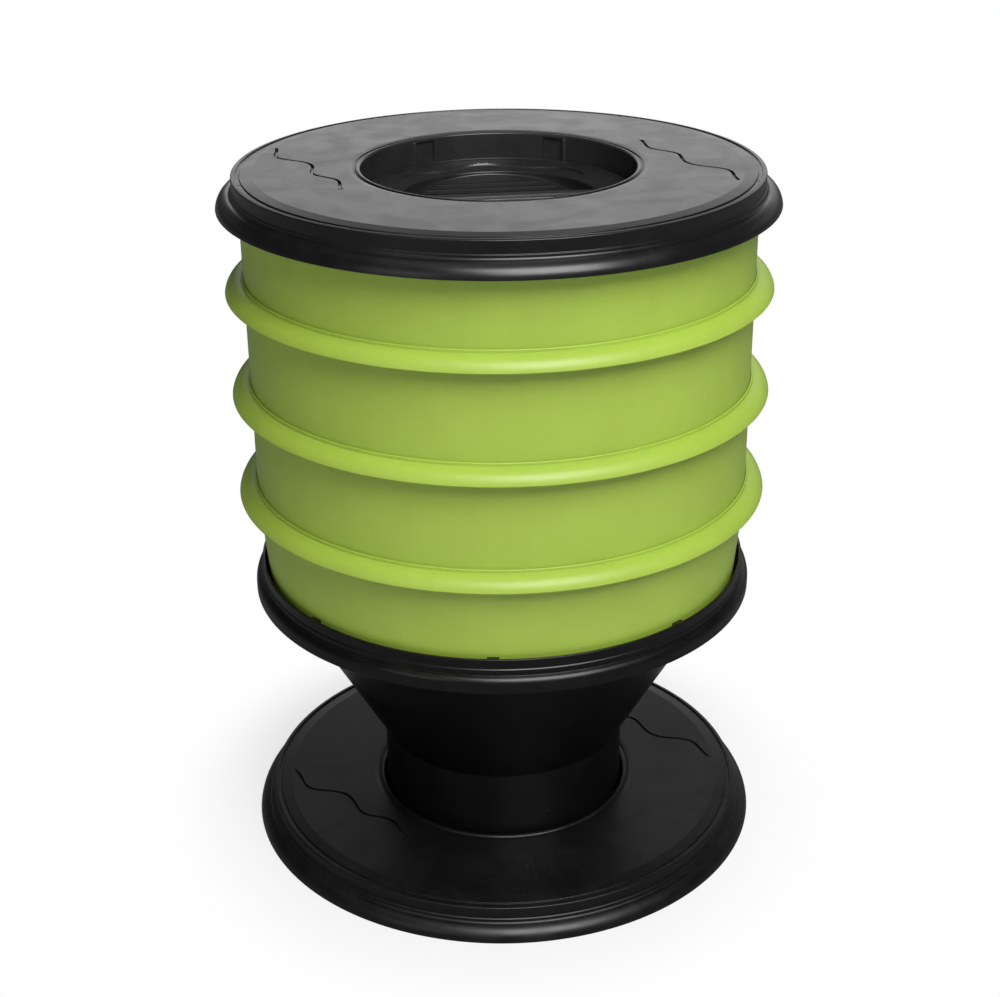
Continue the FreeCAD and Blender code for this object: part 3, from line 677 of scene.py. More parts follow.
class Shop:
    """Hands out each finish's material and attaches finished pieces to the frame."""

    def __init__(self) -> None:
        """Build all materials."""
        self.materials = {slot: finish.material() for slot, finish in FINISHES.items()}

    def attach(self, piece: bpy.types.Object, body: str, slot: Slot, *nodes: str) -> None:
        """Let a piece ride on a body in place of its nodes.

        Args:
            piece: the finished piece.
            body: the body it moves with.
            slot: the record's material slot; not used.
            nodes: the nodes it stands for.
        """
        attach(piece, body)
        if nodes:
            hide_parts(*nodes)
        LOG.info("%s rides on %s, %d faces", piece.name, body, len(piece.data.polygons))


def low(node: str) -> Vector:
    """Lowest corner of a node, in millimetres."""
    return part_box(node)[0] / MM


def high(node: str) -> Vector:
    """Highest corner of a node, in millimetres."""
    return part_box(node)[1] / MM


class NodeShape:
    """A Geometry Nodes tree that is run once on a piece and made plain mesh."""

    def __init__(self, name: str, inputs: dict[str, str]) -> None:
        """Make the tree with its named inputs.

        Args:
            name: the tree's name.
            inputs: socket kind of each named input.
        """
        self.tree = bpy.data.node_groups.new(name, "GeometryNodeTree")
        self.graph = Graph(self.tree)
        self.tree.interface.new_socket("Geometry", in_out="INPUT", socket_type="NodeSocketGeometry")
        for title, kind in inputs.items():
            self.tree.interface.new_socket(title, in_out="INPUT", socket_type=f"NodeSocket{kind}")
        self.tree.interface.new_socket("Material", in_out="INPUT", socket_type="NodeSocketMaterial")
        self.tree.interface.new_socket("Geometry", in_out="OUTPUT", socket_type="NodeSocketGeometry")
        self.source = self.graph.add("NodeGroupInput").outputs

    def close(self, shape: Socket, weld: bool = False) -> None:
        """Join the made shape to the piece, set its material and end the tree."""
        joined = self.graph.add("GeometryNodeJoinGeometry", {0: shape})
        self.tree.links.new(self.source["Geometry"], joined.inputs[0])
        real = self.graph.add("GeometryNodeRealizeInstances", {0: joined.outputs[0]}).outputs[0]
        if weld:
            real = self.graph.add("GeometryNodeMergeByDistance", {0: real, "Distance": WELD * MM}).outputs[0]
        inputs = {0: real, "Material": self.source["Material"]}
        dressed = self.graph.add("GeometryNodeSetMaterial", inputs).outputs[0]
        self.graph.add("NodeGroupOutput", {0: dressed})

    def apply(self, piece: bpy.types.Object, **values: object) -> None:
        """Run the tree on a piece.

        Args:
            piece: the piece that receives the shape.
            values: the inputs' values, with underscores for spaces.
        """
        values = {key.replace("_", " "): value for key, value in values.items()}
        values["Material"] = piece.data.materials[0]
        modifier = piece.modifiers.new(self.tree.name, "NODES")
        modifier.node_group = self.tree
        for item in self.tree.interface.items_tree:
            if item.in_out == "INPUT" and item.name in values:
                modifier[item.identifier] = values[item.name]
        settle(piece, modifier)


class StiffenerShape(NodeShape):
    """Short radial ribs under a round plate."""

    def __init__(self) -> None:
        """Build the tree."""
        sizes = dict.fromkeys(("Inner", "Outer", "Top", "Drop", "Width"), "Float")
        super().__init__("stiffeners", {"Count": "Int"} | sizes)
        graph, source = self.graph, self.source
        size = graph.vector(graph.minus(source["Outer"], source["Inner"]), source["Width"], source["Drop"])
        rib = graph.add("GeometryNodeMeshCube", {"Size": size}).outputs[0]
        middle = graph.times(graph.plus(source["Outer"], source["Inner"]), 0.5)
        shift = graph.vector(middle, z=graph.minus(source["Top"], graph.times(source["Drop"], 0.5)))
        rib = graph.add("GeometryNodeTransform", {0: rib, "Translation": shift}).outputs[0]
        points = graph.add("GeometryNodePoints", {"Count": source["Count"]}).outputs[0]
        index = graph.plus(graph.add("GeometryNodeInputIndex").outputs[0], 0.5)
        angle = graph.maths("DIVIDE", graph.times(index, math.tau), source["Count"])
        inputs = {"Points": points, "Instance": rib, "Rotation": graph.vector(z=angle)}
        self.close(graph.add("GeometryNodeInstanceOnPoints", inputs).outputs[0])


class FloorShape(NodeShape):
    """A round floor pierced by rings of holes, welded into a tray's open foot."""

    # Corners of a hole's outline, and the share of the radius past which a wall belongs to the rim
    HOLE_CORNERS = 20
    RIM_SHARE = 0.9995

    def __init__(self) -> None:
        """Build the tree."""
        sizes = dict.fromkeys(("Radius", "Bottom", "Thickness", "Hole radius", "Ring step"), "Float")
        super().__init__("perforated_floor", sizes | {"Holes": "Int"})
        graph, source = self.graph, self.source
        inputs = {"Count": source["Holes"], "Position": self.hole_place()}
        points = graph.add("GeometryNodePoints", inputs).outputs[0]
        hole = self.circle(self.HOLE_CORNERS, source["Hole radius"])
        holes = graph.add("GeometryNodeInstanceOnPoints", {"Points": points, "Instance": hole}).outputs[0]
        holes = graph.add("GeometryNodeRealizeInstances", {0: holes}).outputs[0]
        outline = self.both(holes, self.circle(SEGMENTS, source["Radius"]))
        sheet = graph.add("GeometryNodeFillCurve", {0: outline}).outputs[0]
        inputs = {"Mesh": sheet, "Offset": graph.vector(z=1.0), "Offset Scale": source["Thickness"],
                  "Individual": False}
        raised = graph.add("GeometryNodeExtrudeMesh", inputs)
        under = graph.add("GeometryNodeFlipFaces", {0: sheet}).outputs[0]
        place = graph.add("GeometryNodeInputPosition").outputs[0]
        flat = graph.add("ShaderNodeVectorMath", {0: place, 1: (1, 1, 0)}, operation="MULTIPLY").outputs[0]
        edge = graph.maths("GREATER_THAN", graph.length(flat), graph.times(source["Radius"], self.RIM_SHARE))
        inputs = {0: edge, 1: raised.outputs["Side"]}
        wall = graph.add("FunctionNodeBooleanMath", inputs, operation="AND").outputs[0]
        inputs = {0: raised.outputs[0], "Selection": wall}
        open_rim = graph.add("GeometryNodeDeleteGeometry", inputs, domain="FACE").outputs[0]
        inputs = {0: self.both(under, open_rim), "Translation": graph.vector(z=source["Bottom"])}
        self.close(graph.add("GeometryNodeTransform", inputs).outputs[0], weld=True)

    def circle(self, corners: int, radius: object) -> Socket:
        """A round outline."""
        inputs = {"Resolution": corners, "Radius": radius}
        return self.graph.add("GeometryNodeCurvePrimitiveCircle", inputs).outputs[0]

    def both(self, first: Socket, second: Socket) -> Socket:
        """Two shapes joined."""
        joined = self.graph.add("GeometryNodeJoinGeometry", {0: first})
        self.tree.links.new(second, joined.inputs[0])
        return joined.outputs[0]

    def hole_place(self) -> Socket:
        """Place of each hole: one in the middle, then 6 k in ring k, with odd rings half a step on."""
        graph = self.graph
        index = graph.add("GeometryNodeInputIndex").outputs[0]
        # Ring number of the i-th hole, from i = 3 k (k + 1) holes up to ring k round the middle one
        root = graph.maths("SQRT", graph.plus(graph.times(index, 4 / 3), 1.0))
        ring = graph.maths("CEIL", graph.minus(graph.times(graph.minus(root, 1.0), 0.5), 1e-4))
        before = graph.times(graph.times(ring, graph.minus(ring, 1.0)), 3.0)
        place = graph.minus(graph.minus(index, 1.0), before)
        odd = graph.times(graph.maths("MODULO", ring, 2.0), 0.5)
        in_ring = graph.maths("MAXIMUM", graph.times(ring, 6.0), 1.0)
        angle = graph.times(graph.maths("DIVIDE", graph.plus(place, odd), in_ring), math.tau)
        reach = graph.times(ring, self.source["Ring step"])
        return graph.vector(graph.times(reach, graph.maths("COSINE", angle)),
                            graph.times(reach, graph.maths("SINE", angle)))


class RidgeShape(NodeShape):
    """Low straight ridges across the sloping floor of a round finger well."""

    def __init__(self) -> None:
        """Build the tree."""
        sizes = ("Start", "Step", "Reach", "Base", "Slope", "Width", "Height", "Side", "Turn")
        super().__init__("well_ridges", {"Count": "Int"} | dict.fromkeys(sizes, "Float"))
        graph, source = self.graph, self.source
        index = graph.add("GeometryNodeInputIndex").outputs[0]
        across = graph.plus(source["Start"], graph.times(index, source["Step"]))
        rest = graph.minus(graph.maths("POWER", source["Reach"], 2.0), graph.maths("POWER", across, 2.0))
        half = graph.maths("SQRT", rest)
        level = graph.plus(source["Base"], graph.times(across, source["Slope"]))
        spot = graph.vector(y=graph.times(across, source["Side"]), z=level)
        points = graph.add("GeometryNodePoints", {"Count": source["Count"], "Position": spot}).outputs[0]
        size = graph.vector(2.0, source["Width"], source["Height"])
        bar = graph.add("GeometryNodeMeshCube", {"Size": size}).outputs[0]
        inputs = {"Points": points, "Instance": bar, "Scale": graph.vector(half, 1.0, 1.0)}
        bars = graph.add("GeometryNodeInstanceOnPoints", inputs).outputs[0]
        bars = graph.add("GeometryNodeRealizeInstances", {0: bars}).outputs[0]
        inputs = {0: bars, "Rotation": graph.vector(z=source["Turn"])}
        self.close(graph.add("GeometryNodeTransform", inputs).outputs[0])


@dataclass
class Groove:
    """A wavy groove with a round tail and a steep round hole at its head, sunk into a flat top.

    Args:
        middle: its middle line, from 0 at its tail to 1 at its head.
        width: its full width.
        head: radius of the hole at its head.
        depth: its depth.
    """

    middle: Callable[[float], Vector]
    width: float
    head: float
    depth: float

    # Chords that measure the middle line, and the step in it that gives its direction
    CHORDS = 400
    NEAR = 0.01

    # Rows along the groove, at its tail and over its hole, and points across it
    STEPS = 150
    TAIL_STEPS = 4
    HEAD_STEPS = 14
    SIDES = (-1.0, -0.93, -0.84, -0.72, -0.5, 0.0, 0.5, 0.72, 0.84, 0.93, 1.0)

    # Share of the depth at the tail and at the head, and the tail or head radii over which it is reached
    TAIL_DEPTH, TAIL_RUN = 0.3, 4
    HEAD_DEPTH, HEAD_RUN = 0.4, 5
    # Share of the half width that its wall takes
    WALL_SHARE = 0.3

    # The hole: depth against the groove's, and how much of it is wall and how much is bowl
    HOLE_DEPTH = 1.08
    HOLE_WALL, HOLE_BOWL = 0.85, 0.15
    # Share of its radius that its wall takes
    HOLE_WALL_SHARE = 0.05

    def __post_init__(self) -> None:
        """Measure the middle line."""
        self.tail = self.width / 2
        self.length = 0.0
        for index in range(self.CHORDS):
            chord = self.middle((index + 1) / self.CHORDS) - self.middle(index / self.CHORDS)
            self.length += chord.length

    def at(self, distance: float) -> tuple[Vector, Vector]:
        """Point and sideways direction at a distance along the middle line, also past its ends."""
        share = min(max(distance / self.length, 0.0), 1.0)
        ahead = self.middle(min(share + self.NEAR, 1)) - self.middle(max(share - self.NEAR, 0))
        ahead.normalize()
        beyond = distance - share * self.length
        return self.middle(share) + ahead * beyond, Vector((-ahead.y, ahead.x, 0))

    def distances(self) -> list[float]:
        """Where the rows stand along the middle line, closer together at both ends."""
        found = []
        for step in range(self.TAIL_STEPS + 1):
            angle = math.pi * step / (2 * self.TAIL_STEPS)
            found.append(-self.tail + 2 * self.tail * (1 - math.cos(angle)) / 2)
        for step in range(1, self.STEPS):
            distance = self.length * step / self.STEPS
            if self.tail < distance < self.length - 1.2 * self.head:
                found.append(distance)
        for step in range(self.HEAD_STEPS + 1):
            found.append(self.length - self.head * math.cos(math.pi * step / self.HEAD_STEPS))
        return found

    def half_width(self, distance: float) -> float:
        """Half of the width at a distance, round at the tail and at the hole."""
        half = self.width / 2
        if distance < 0:
            half = math.sqrt(max(self.tail**2 - distance**2, 0.0))
        if distance > self.length - self.head:
            hole = math.sqrt(max(self.head**2 - (distance - self.length)**2, 0.0))
            half = max(half if distance < self.length else 0.0, hole)
        return half

    def row(self, distance: float) -> Loop:
        """Points across the groove at a distance, from its left rim to its right one."""
        half = self.half_width(distance)
        run = (1 - self.TAIL_DEPTH) * max(distance, 0.0) / (self.TAIL_RUN * self.tail)
        sink = self.depth * min(1.0, half / (self.width / 2)) * min(1.0, self.TAIL_DEPTH + run)
        if distance < self.length:
            to_head = min(max((self.length - distance) / (self.HEAD_RUN * self.head), 0.0), 1.0)
            sink *= self.HEAD_DEPTH + (1 - self.HEAD_DEPTH) * to_head
        else:
            sink = 0.0
        reach = min(half, self.width / 2) + WELD
        spot, aside = self.at(distance)
        row = []
        for side in self.SIDES:
            wall = min(max((1 - abs(half * side) / reach) / self.WALL_SHARE, 0.0), 1.0)
            inward = max(0.0, 1 - math.hypot(distance - self.length, half * side) / self.head)
            steep = self.HOLE_WALL * min(1.0, inward / self.HOLE_WALL_SHARE)
            hole = self.depth * self.HOLE_DEPTH * (steep + self.HOLE_BOWL * inward)
            down = max(sink * wall * wall * (3 - 2 * wall), hole)
            row.append(spot + aside * half * side - Vector((0, 0, down)))
        return row

    def sink_into(self, shell: Shell) -> Loop:
        """Add the groove to a shell.

        Args:
            shell: the shell that receives it.

        Returns:
            The groove's rim as one loop, for the flat top to join.
        """
        rows = [self.row(distance) for distance in self.distances()]
        shell.loft(rows, around=False)
        left = [row[0] for row in rows]
        right = [row[-1] for row in rows]
        rim: Loop = []
        for point in left + right[::-1]:
            if not rim or (point - rim[-1]).length > WELD:
                rim.append(point)
        if (rim[0] - rim[-1]).length <= WELD:
            rim.pop()
        return rim


@dataclass
class RoundPlate:
    """The round moulding that serves as the base plate and, again, as the lid."""

    shop: Shop
    stiffeners: StiffenerShape
    node: str
    body: str
    slot: Slot
    turn: float = 0.0
    height: float = 28.5
    clearance: float = 0.5
    roll_gap: float = 0.4
    roll_round: float = 13.6
    roll_wall: float = 2.6
    roll_rise: float = 1.2
    roll_end: float = math.radians(75)
    skirt_wall: float = 2.4
    lip_gap: float = 0.4
    lip_wall: float = 1.6
    flange_reach: float = 16.4
    step_depth: float = 1.0
    step_height: float = 15.6
    rim_ledge: float = 4.2
    rim_sink: float = 1.0
    rim_lean: float = 0.5
    rim_groove: float = 3.2
    rim_depth: float = 2.2
    rim_slope: float = 10.0
    rim_drop: float = 1.1
    rim_backing: float = 1.0
    collar_radius: float = 118.6
    collar_wall: float = 2.8
    bead_width: float = 4.6
    bead_drop: float = 1.5
    line_width: float = 0.8
    line_slope: float = 1.2
    edge_width: float = 3.8
    edge_sink: float = 0.4
    ledge_width: float = 10.1
    ledge: float = 2.2
    pockets: int = 6
    pocket_turn: float = -4.8
    pocket_width: float = 20.6
    pocket_depth: float = 1.8
    pocket_drop: float = 3.4
    rib_radius: float = 1.7
    rib_reach: float = 1.4
    stiffener_count: int = 12
    stiffener_drop: float = 6.4
    stiffener_width: float = 2.0
    tail: Point = (207.4, -17.5)
    head: Point = (152.3, 32.1)
    swings: tuple[float, ...] = (0.9, -4.2, -2.4, -5.3, 1.6, 1.7, -0.1, 0.7)
    groove_width: float = 3.0
    groove_depth: float = 2.0
    head_radius: float = 2.4

    # Points across a rib in shares of its half width, and how far from a pocket's edge its bearings stand
    RIB_SHARES = (-1, -0.94, -0.75, -0.45, -0.15, 0.15, 0.45, 0.75, 0.94, 1)
    EDGE_STEP = 0.06

    def groove_place(self, share: float) -> Vector:
        """Point of a groove's middle line, from its tail to its head."""
        tail = polar(*self.tail, self.height)
        head = polar(*self.head, self.height)
        waves = enumerate(self.swings, start=1)
        swing = sum(size * math.sin(count * math.pi * share) for count, size in waves)
        across = Vector((0, 0, 1)).cross(head - tail).normalized()
        return tail.lerp(head, share) + across * swing

    def pocket_places(self) -> list[tuple[float, float]]:
        """Middle bearing of each pocket and the side its rib is on."""
        places = []
        for index in range(self.pockets):
            offset = 360 * (index + 0.5) / self.pockets
            places.append(((90 - self.pocket_turn - offset) % 360, -1.0 if offset < 180 else 1.0))
        return places

    def shift(self, corner: Corner, bearing: float) -> Point:
        """Sink the pockets into the collar's wall and raise the rib beside each."""
        half = math.degrees(self.pocket_width / 2 / self.collar_radius)
        out = 0.0
        for middle, side in self.pocket_places():
            away = apart(bearing, middle)
            if abs(away) < half and corner.feature is Feature.POCKET:
                out = self.pocket_depth
            rib_away = math.radians(abs(away - side * half)) * self.collar_radius
            if rib_away < self.rib_radius:
                swell = math.sqrt(1 - (rib_away / self.rib_radius)**2)
                share = {Feature.POCKET: 1.0, Feature.POCKET_HEAD: 0.9, Feature.RIB_HEAD: 0.0}[corner.feature]
                out = min(out, -self.rib_reach * swell * share) if share else out
        return out, 0.0

    def bearings(self) -> list[float]:
        """Even bearings with closer ones at each pocket's edges and rib."""
        half = math.degrees(self.pocket_width / 2 / self.collar_radius)
        rib = math.degrees(self.rib_radius / self.collar_radius)
        steps = (-self.EDGE_STEP, self.EDGE_STEP)
        marks: list[float] = []
        for middle, side in self.pocket_places():
            marks += [middle + edge * (half + step) for edge in (-1, 1) for step in steps]
            marks += [middle + side * half + rib * share for share in self.RIB_SHARES]
        return with_even(marks, 2 * self.EDGE_STEP)

    def section(self) -> tuple[Section, float, float]:
        """The turned section without its flat top, and the radii where that top starts and ends."""
        tray = self.clearance + self.lip_wall + self.lip_gap
        pocket = high("tray_1").x - self.flange_reach + tray
        centre = (high("tray_1").x - math.sqrt(FLANGE_ROUND**2 - FLANGE_SINK**2), -FLANGE_SINK)
        inner = FLANGE_ROUND + self.roll_gap
        foot_angle = math.degrees(math.asin(FLANGE_SINK / inner))
        foot = centre[0] + inner * math.cos(math.radians(foot_angle))
        roll = foot + self.roll_wall
        skirt = pocket + self.skirt_wall
        step = skirt + self.step_depth
        top = self.height
        ledge = top - self.rim_sink
        groove_outer = skirt - self.rim_ledge
        groove_inner = groove_outer - self.rim_groove
        groove_floor = top - self.rim_depth
        slope_inner = groove_inner - self.rim_slope
        bead = self.collar_radius + self.bead_width
        bead_foot = top - self.bead_drop
        line = bead + self.line_width
        edge = line + self.line_slope
        outer_end = slope_inner - 0.4
        inner_start = edge + self.edge_width + 1.0
        roll_centre = (roll - self.roll_round, -self.roll_rise)
        section = Section(closed=False).to(outer_end, top).to(slope_inner, top, 1.5)
        section.to(groove_inner, top - self.rim_drop, 0.4).to(groove_inner + 0.2, groove_floor, 0.3)
        section.to(groove_outer, groove_floor, 0.4).to(groove_outer + 0.3, ledge, 0.8)
        section.to(skirt, ledge - self.rim_lean, 0.9).to(skirt, self.step_height + 0.6, 0.5)
        section.to(step, self.step_height, 0.45)
        spoke = Vector((math.cos(self.roll_end), math.sin(self.roll_end)))
        roll_top = Vector(roll_centre) + self.roll_round * spoke
        section.to(step, roll_top.y + 2.4)
        section.through((roll_top.x - 2.6, roll_top.y + 0.7), tuple(roll_top), 6)
        section.arc(roll_centre, self.roll_round, math.degrees(self.roll_end) - 4, 8, 14)
        section.to(roll, 0.0, 0.7).to(foot, 0.0, 0.6)
        section.arc(centre, inner, foot_angle + 6, 88, 12)
        section.to(pocket, LIP_HEIGHT, 0.4).to(pocket - 2.7, LIP_HEIGHT, 0.5)
        section.to(pocket - 2.7, LIP_HEIGHT + SEAT_DROP, 0.8).to(pocket, LIP_HEIGHT + 2 * SEAT_DROP, 0.8)
        backing = top - WALL - self.rim_backing
        section.to(pocket, backing, 1.0).to(groove_inner, backing, 0.6)
        section.to(groove_inner - self.rim_backing, top - WALL, 0.6)
        section.to(self.collar_radius + self.collar_wall, top - WALL, 1.2)
        section.to(self.collar_radius + self.collar_wall, 0.0, 0.4)
        ledge_radius = self.collar_radius - self.ledge_width
        section.to(ledge_radius, 0.0, 0.4).to(ledge_radius, self.ledge, 0.4)
        pocket_top = top - self.pocket_drop
        section.to(self.collar_radius - 0.9, self.ledge)
        section.to(self.collar_radius, self.ledge + 0.5, 0.0, Feature.POCKET)
        section.to(self.collar_radius, pocket_top - 0.35, 0.0, Feature.POCKET)
        section.to(self.collar_radius, pocket_top, 0.0, Feature.POCKET_HEAD)
        section.to(self.collar_radius, pocket_top + self.rib_radius, 0.0, Feature.RIB_HEAD)
        section.to(self.collar_radius, bead_foot)
        section.through((self.collar_radius + self.bead_width / 2, top), (bead, bead_foot), 10)
        section.to(bead, bead_foot).to(line, bead_foot).to(edge, top - self.edge_sink, 0.3)
        section.to(inner_start - 1.0, top, 0.8).to(inner_start, top)
        return section, outer_end, inner_start

    def build(self) -> None:
        """Make the moulding, dress it and attach it."""
        section, outer, inner = self.section()
        bearings = self.bearings()
        shell = Shell()
        shell.turn(section, bearings, self.shift)
        rims = []
        for turn in (0.0, math.pi):
            spin = Matrix.Rotation(turn, 3, "Z")
            groove = Groove(lambda share: spin @ self.groove_place(share), self.groove_width,
                            self.head_radius, self.groove_depth)
            rims.append(groove.sink_into(shell))
        shell.fill([[polar(outer, bearing, self.height) for bearing in bearings],
                    [polar(inner, bearing, self.height) for bearing in bearings], *rims])
        shell.move(Matrix.Rotation(math.radians(self.turn), 4, "Z"))
        shell.move(Matrix.Translation((0, 0, low(self.node).z)))
        piece = shell.finish(f"{self.node}_moulding", self.shop.materials[self.slot])
        level = low(self.node).z
        collar = self.collar_radius + self.collar_wall - 1.0
        lip = high("tray_1").x - self.flange_reach + self.lip_gap + self.lip_wall
        self.stiffeners.apply(piece, Count=self.stiffener_count, Inner=collar * MM, Outer=(lip + 1.0) * MM,
                              Top=(level + self.height - WALL + 0.4) * MM,
                              Drop=self.stiffener_drop * MM, Width=self.stiffener_width * MM)
        self.shop.attach(piece, self.body, self.slot, self.node)


@dataclass
class Tray:
    """A perforated tray: floor, wall, flange and upright lip."""

    shop: Shop
    floor: FloorShape
    node: str
    lowest: bool
    flange_reach: float = 16.4
    stack_gap: float = 0.4
    lip_wall: float = 1.6
    spigot_gap: float = 0.9
    spigot_depth: float = 16.0
    foot_narrowing: float = 7.5
    taper_start: float = 12.0
    hole_radius: float = 4.5
    ring_step: float = 30.0
    holes: int = 127

    def build(self) -> None:
        """Make the tray, dress it and attach it."""
        rim_radius = high(self.node).x
        wall = rim_radius - self.flange_reach
        bore = wall - WALL
        level = high(self.node).z - LIP_HEIGHT
        foot = low(self.node).z
        top = level + LIP_HEIGHT
        seat = top - SEAT_DROP
        lip_inner = wall + self.stack_gap
        lip_outer = lip_inner + self.lip_wall
        centre = (rim_radius - math.sqrt(FLANGE_ROUND**2 - FLANGE_SINK**2), level - FLANGE_SINK)
        inner = FLANGE_ROUND - WALL
        rim_angle = math.degrees(math.asin(FLANGE_SINK / FLANGE_ROUND))
        under_angle = math.degrees(math.asin(FLANGE_SINK / inner))
        roof_angle = math.degrees(math.acos((wall - centre[0]) / inner))
        if self.lowest:
            spigot = wall - self.foot_narrowing
        else:
            spigot = bore - self.spigot_gap
        floor_radius = spigot - WALL - 4.0
        section = Section(closed=False).to(floor_radius, foot).to(spigot, foot, 1.4)
        if self.lowest:
            section.to(wall, level - self.taper_start, 4.0)
        else:
            shoulder = foot + self.spigot_depth
            section.to(spigot, shoulder, 0.5).to(wall, shoulder, 0.7)
        section.arc(centre, inner, roof_angle, under_angle + 4, 12)
        section.to(rim_radius - WALL + 0.2, level, 0.6).to(rim_radius, level, 0.8)
        section.arc(centre, FLANGE_ROUND, rim_angle + 4, 90, 16)
        section.to(lip_outer, centre[1] + FLANGE_ROUND, 0.7).to(lip_outer, top, 0.75).to(lip_inner, top, 0.5)
        section.to(lip_inner, seat, 0.4).to(bore, seat, 0.7)
        if self.lowest:
            section.to(bore, level - self.taper_start, 4.0)
        else:
            section.to(bore, shoulder + WALL, 0.8).to(spigot - WALL, shoulder, 0.8)
        section.to(spigot - WALL, foot + WALL, 1.6).to(floor_radius, foot + WALL)
        shell = Shell()
        shell.turn(section, even_bearings(SEGMENTS))
        piece = shell.finish(f"{self.node}_moulding", self.shop.materials[Slot.TRAY])
        self.floor.apply(piece, Radius=floor_radius * MM, Bottom=foot * MM, Thickness=WALL * MM,
                         Hole_radius=self.hole_radius * MM, Ring_step=self.ring_step * MM, Holes=self.holes)
        self.shop.attach(piece, self.node, Slot.TRAY, self.node)


@dataclass
class Collector:
    """The liquid collector: neck, cone, seat, flange, lip and the tap's boss."""

    shop: Shop
    seat_gap: float = 1.5
    seat_height: float = 11.5
    foot_radius: float = 216.1
    lip_gap: float = 5.5
    lip_wall: float = 2.6
    step_depth: float = 0.8
    step_height: float = 19.6
    flange_reach: float = 6.7
    flange_edge: float = 7.0
    flange_round: float = 7.4
    neck_radius: float = 115.6
    neck_height: float = 87.8
    cone_top_radius: float = 204.5
    cone_height: float = 158.0
    neck_foot: Point = (1.3, 3.0)
    tabs: int = 8
    tab_width: float = 10.0
    tab_reach: float = 2.4
    tab_rise: float = 0.5
    tab_turn: float = -2.1
    boss_radius: float = 18.0
    spot_face_radius: float = 16.0
    shank_hole: float = 10.3

    # Stretches of the cone and of the flange's rounding, and how far from a tab's edge its bearings stand
    CONE_STEPS = 7
    ROUND_STEPS = 8
    EDGE_STEP = 0.05

    def tab_bearings(self) -> list[float]:
        """Middle bearing of each centring tab."""
        return [(self.tab_turn - 90 + 360 * index / self.tabs) % 360 for index in range(self.tabs)]

    def shift(self, corner: Corner, bearing: float) -> Point:
        """Swell the lip's inner side into centring tabs."""
        half = math.degrees(self.tab_width / 2 / corner.radius)
        for middle in self.tab_bearings():
            if abs(apart(bearing, middle)) < half:
                rise = self.tab_rise if corner.feature is Feature.TAB_TOP else 0.0
                return -self.tab_reach, rise
        return 0.0, 0.0

    def bearings(self) -> list[float]:
        """Even bearings with closer ones at each tab's edges."""
        half = math.degrees(self.tab_width / 2 / self.foot_radius)
        steps = (-self.EDGE_STEP, self.EDGE_STEP)
        marks: list[float] = []
        for middle in self.tab_bearings():
            marks += [middle + side * (half + step) for side in (-1, 1) for step in steps]
        return with_even(marks, 2 * self.EDGE_STEP)

    def build(self) -> None:
        """Make the collector, dress it and attach it."""
        bottom = low("collector").z
        cone_bottom = bottom + self.neck_height
        cone_top = cone_bottom + self.cone_height
        slope = (self.cone_top_radius - self.neck_radius) / self.cone_height
        across = WALL * math.hypot(1.0, slope)
        seat = cone_top + WALL
        top = high("collector").z - self.tab_rise
        lip_inner = self.foot_radius + self.lip_gap
        lip_outer = lip_inner + self.lip_wall
        step = lip_outer + self.step_depth
        flange = lip_outer + self.flange_reach
        edge = cone_top + self.flange_edge
        seat_radius = self.foot_radius + self.seat_gap
        foot, foot_top = self.neck_radius + self.neck_foot[0], bottom + self.neck_foot[1]
        section = Section(closed=False).to(0, cone_bottom).to(self.neck_radius - WALL, cone_bottom, 1.5)
        section.to(self.neck_radius - WALL, bottom, 0.6).to(foot, bottom, 0.6).to(foot, foot_top, 0.4)
        section.to(self.neck_radius, foot_top + self.neck_foot[0], 0.6).to(self.neck_radius, cone_bottom, 2.5)
        for index in range(1, self.CONE_STEPS):
            height = self.cone_height * index / self.CONE_STEPS
            section.to(self.neck_radius + height * slope, cone_bottom + height)
        section.to(self.cone_top_radius, cone_top, 1.6).to(flange, cone_top, 0.9)
        section.to(flange, edge)
        for index in range(1, self.ROUND_STEPS):
            angle = math.radians(90 * index / self.ROUND_STEPS)
            section.to(step + (flange - step) * math.cos(angle), edge + self.flange_round * math.sin(angle))
        section.to(step, edge + self.flange_round, 0.8)
        section.to(step, cone_top + self.step_height, 0.4)
        section.to(lip_outer, cone_top + self.step_height + 0.8, 0.4)
        section.to(lip_outer, top, 0.7)
        for inset, drop in ((0.9, 0.0), (0.25, 0.25), (0.0, 0.9)):
            section.to(lip_inner + inset, top - drop, 0.0, Feature.TAB_TOP)
        seat_top = seat + self.seat_height
        section.to(lip_inner, seat_top + self.lip_gap + 1.0, 0.0, Feature.TAB_INNER)
        section.to(seat_radius, seat_top, 0.8).to(seat_radius, seat, 0.8)
        inner_floor = cone_bottom + WALL
        section.to(self.cone_top_radius - across + WALL * slope, seat, 1.2)
        for index in range(self.CONE_STEPS - 1, 0, -1):
            height = self.cone_height * index / self.CONE_STEPS
            section.to(self.neck_radius + height * slope - across, cone_bottom + height)
        section.to(self.neck_radius - across + WALL * slope, inner_floor, 2.0).to(0, inner_floor)
        shell = Shell()
        shell.turn(section, self.bearings(), self.shift)
        piece = shell.finish("collector_moulding", self.shop.materials[Slot.COLLECTOR])
        self.add_boss(piece)
        self.shop.attach(piece, "collector", Slot.COLLECTOR, "collector")

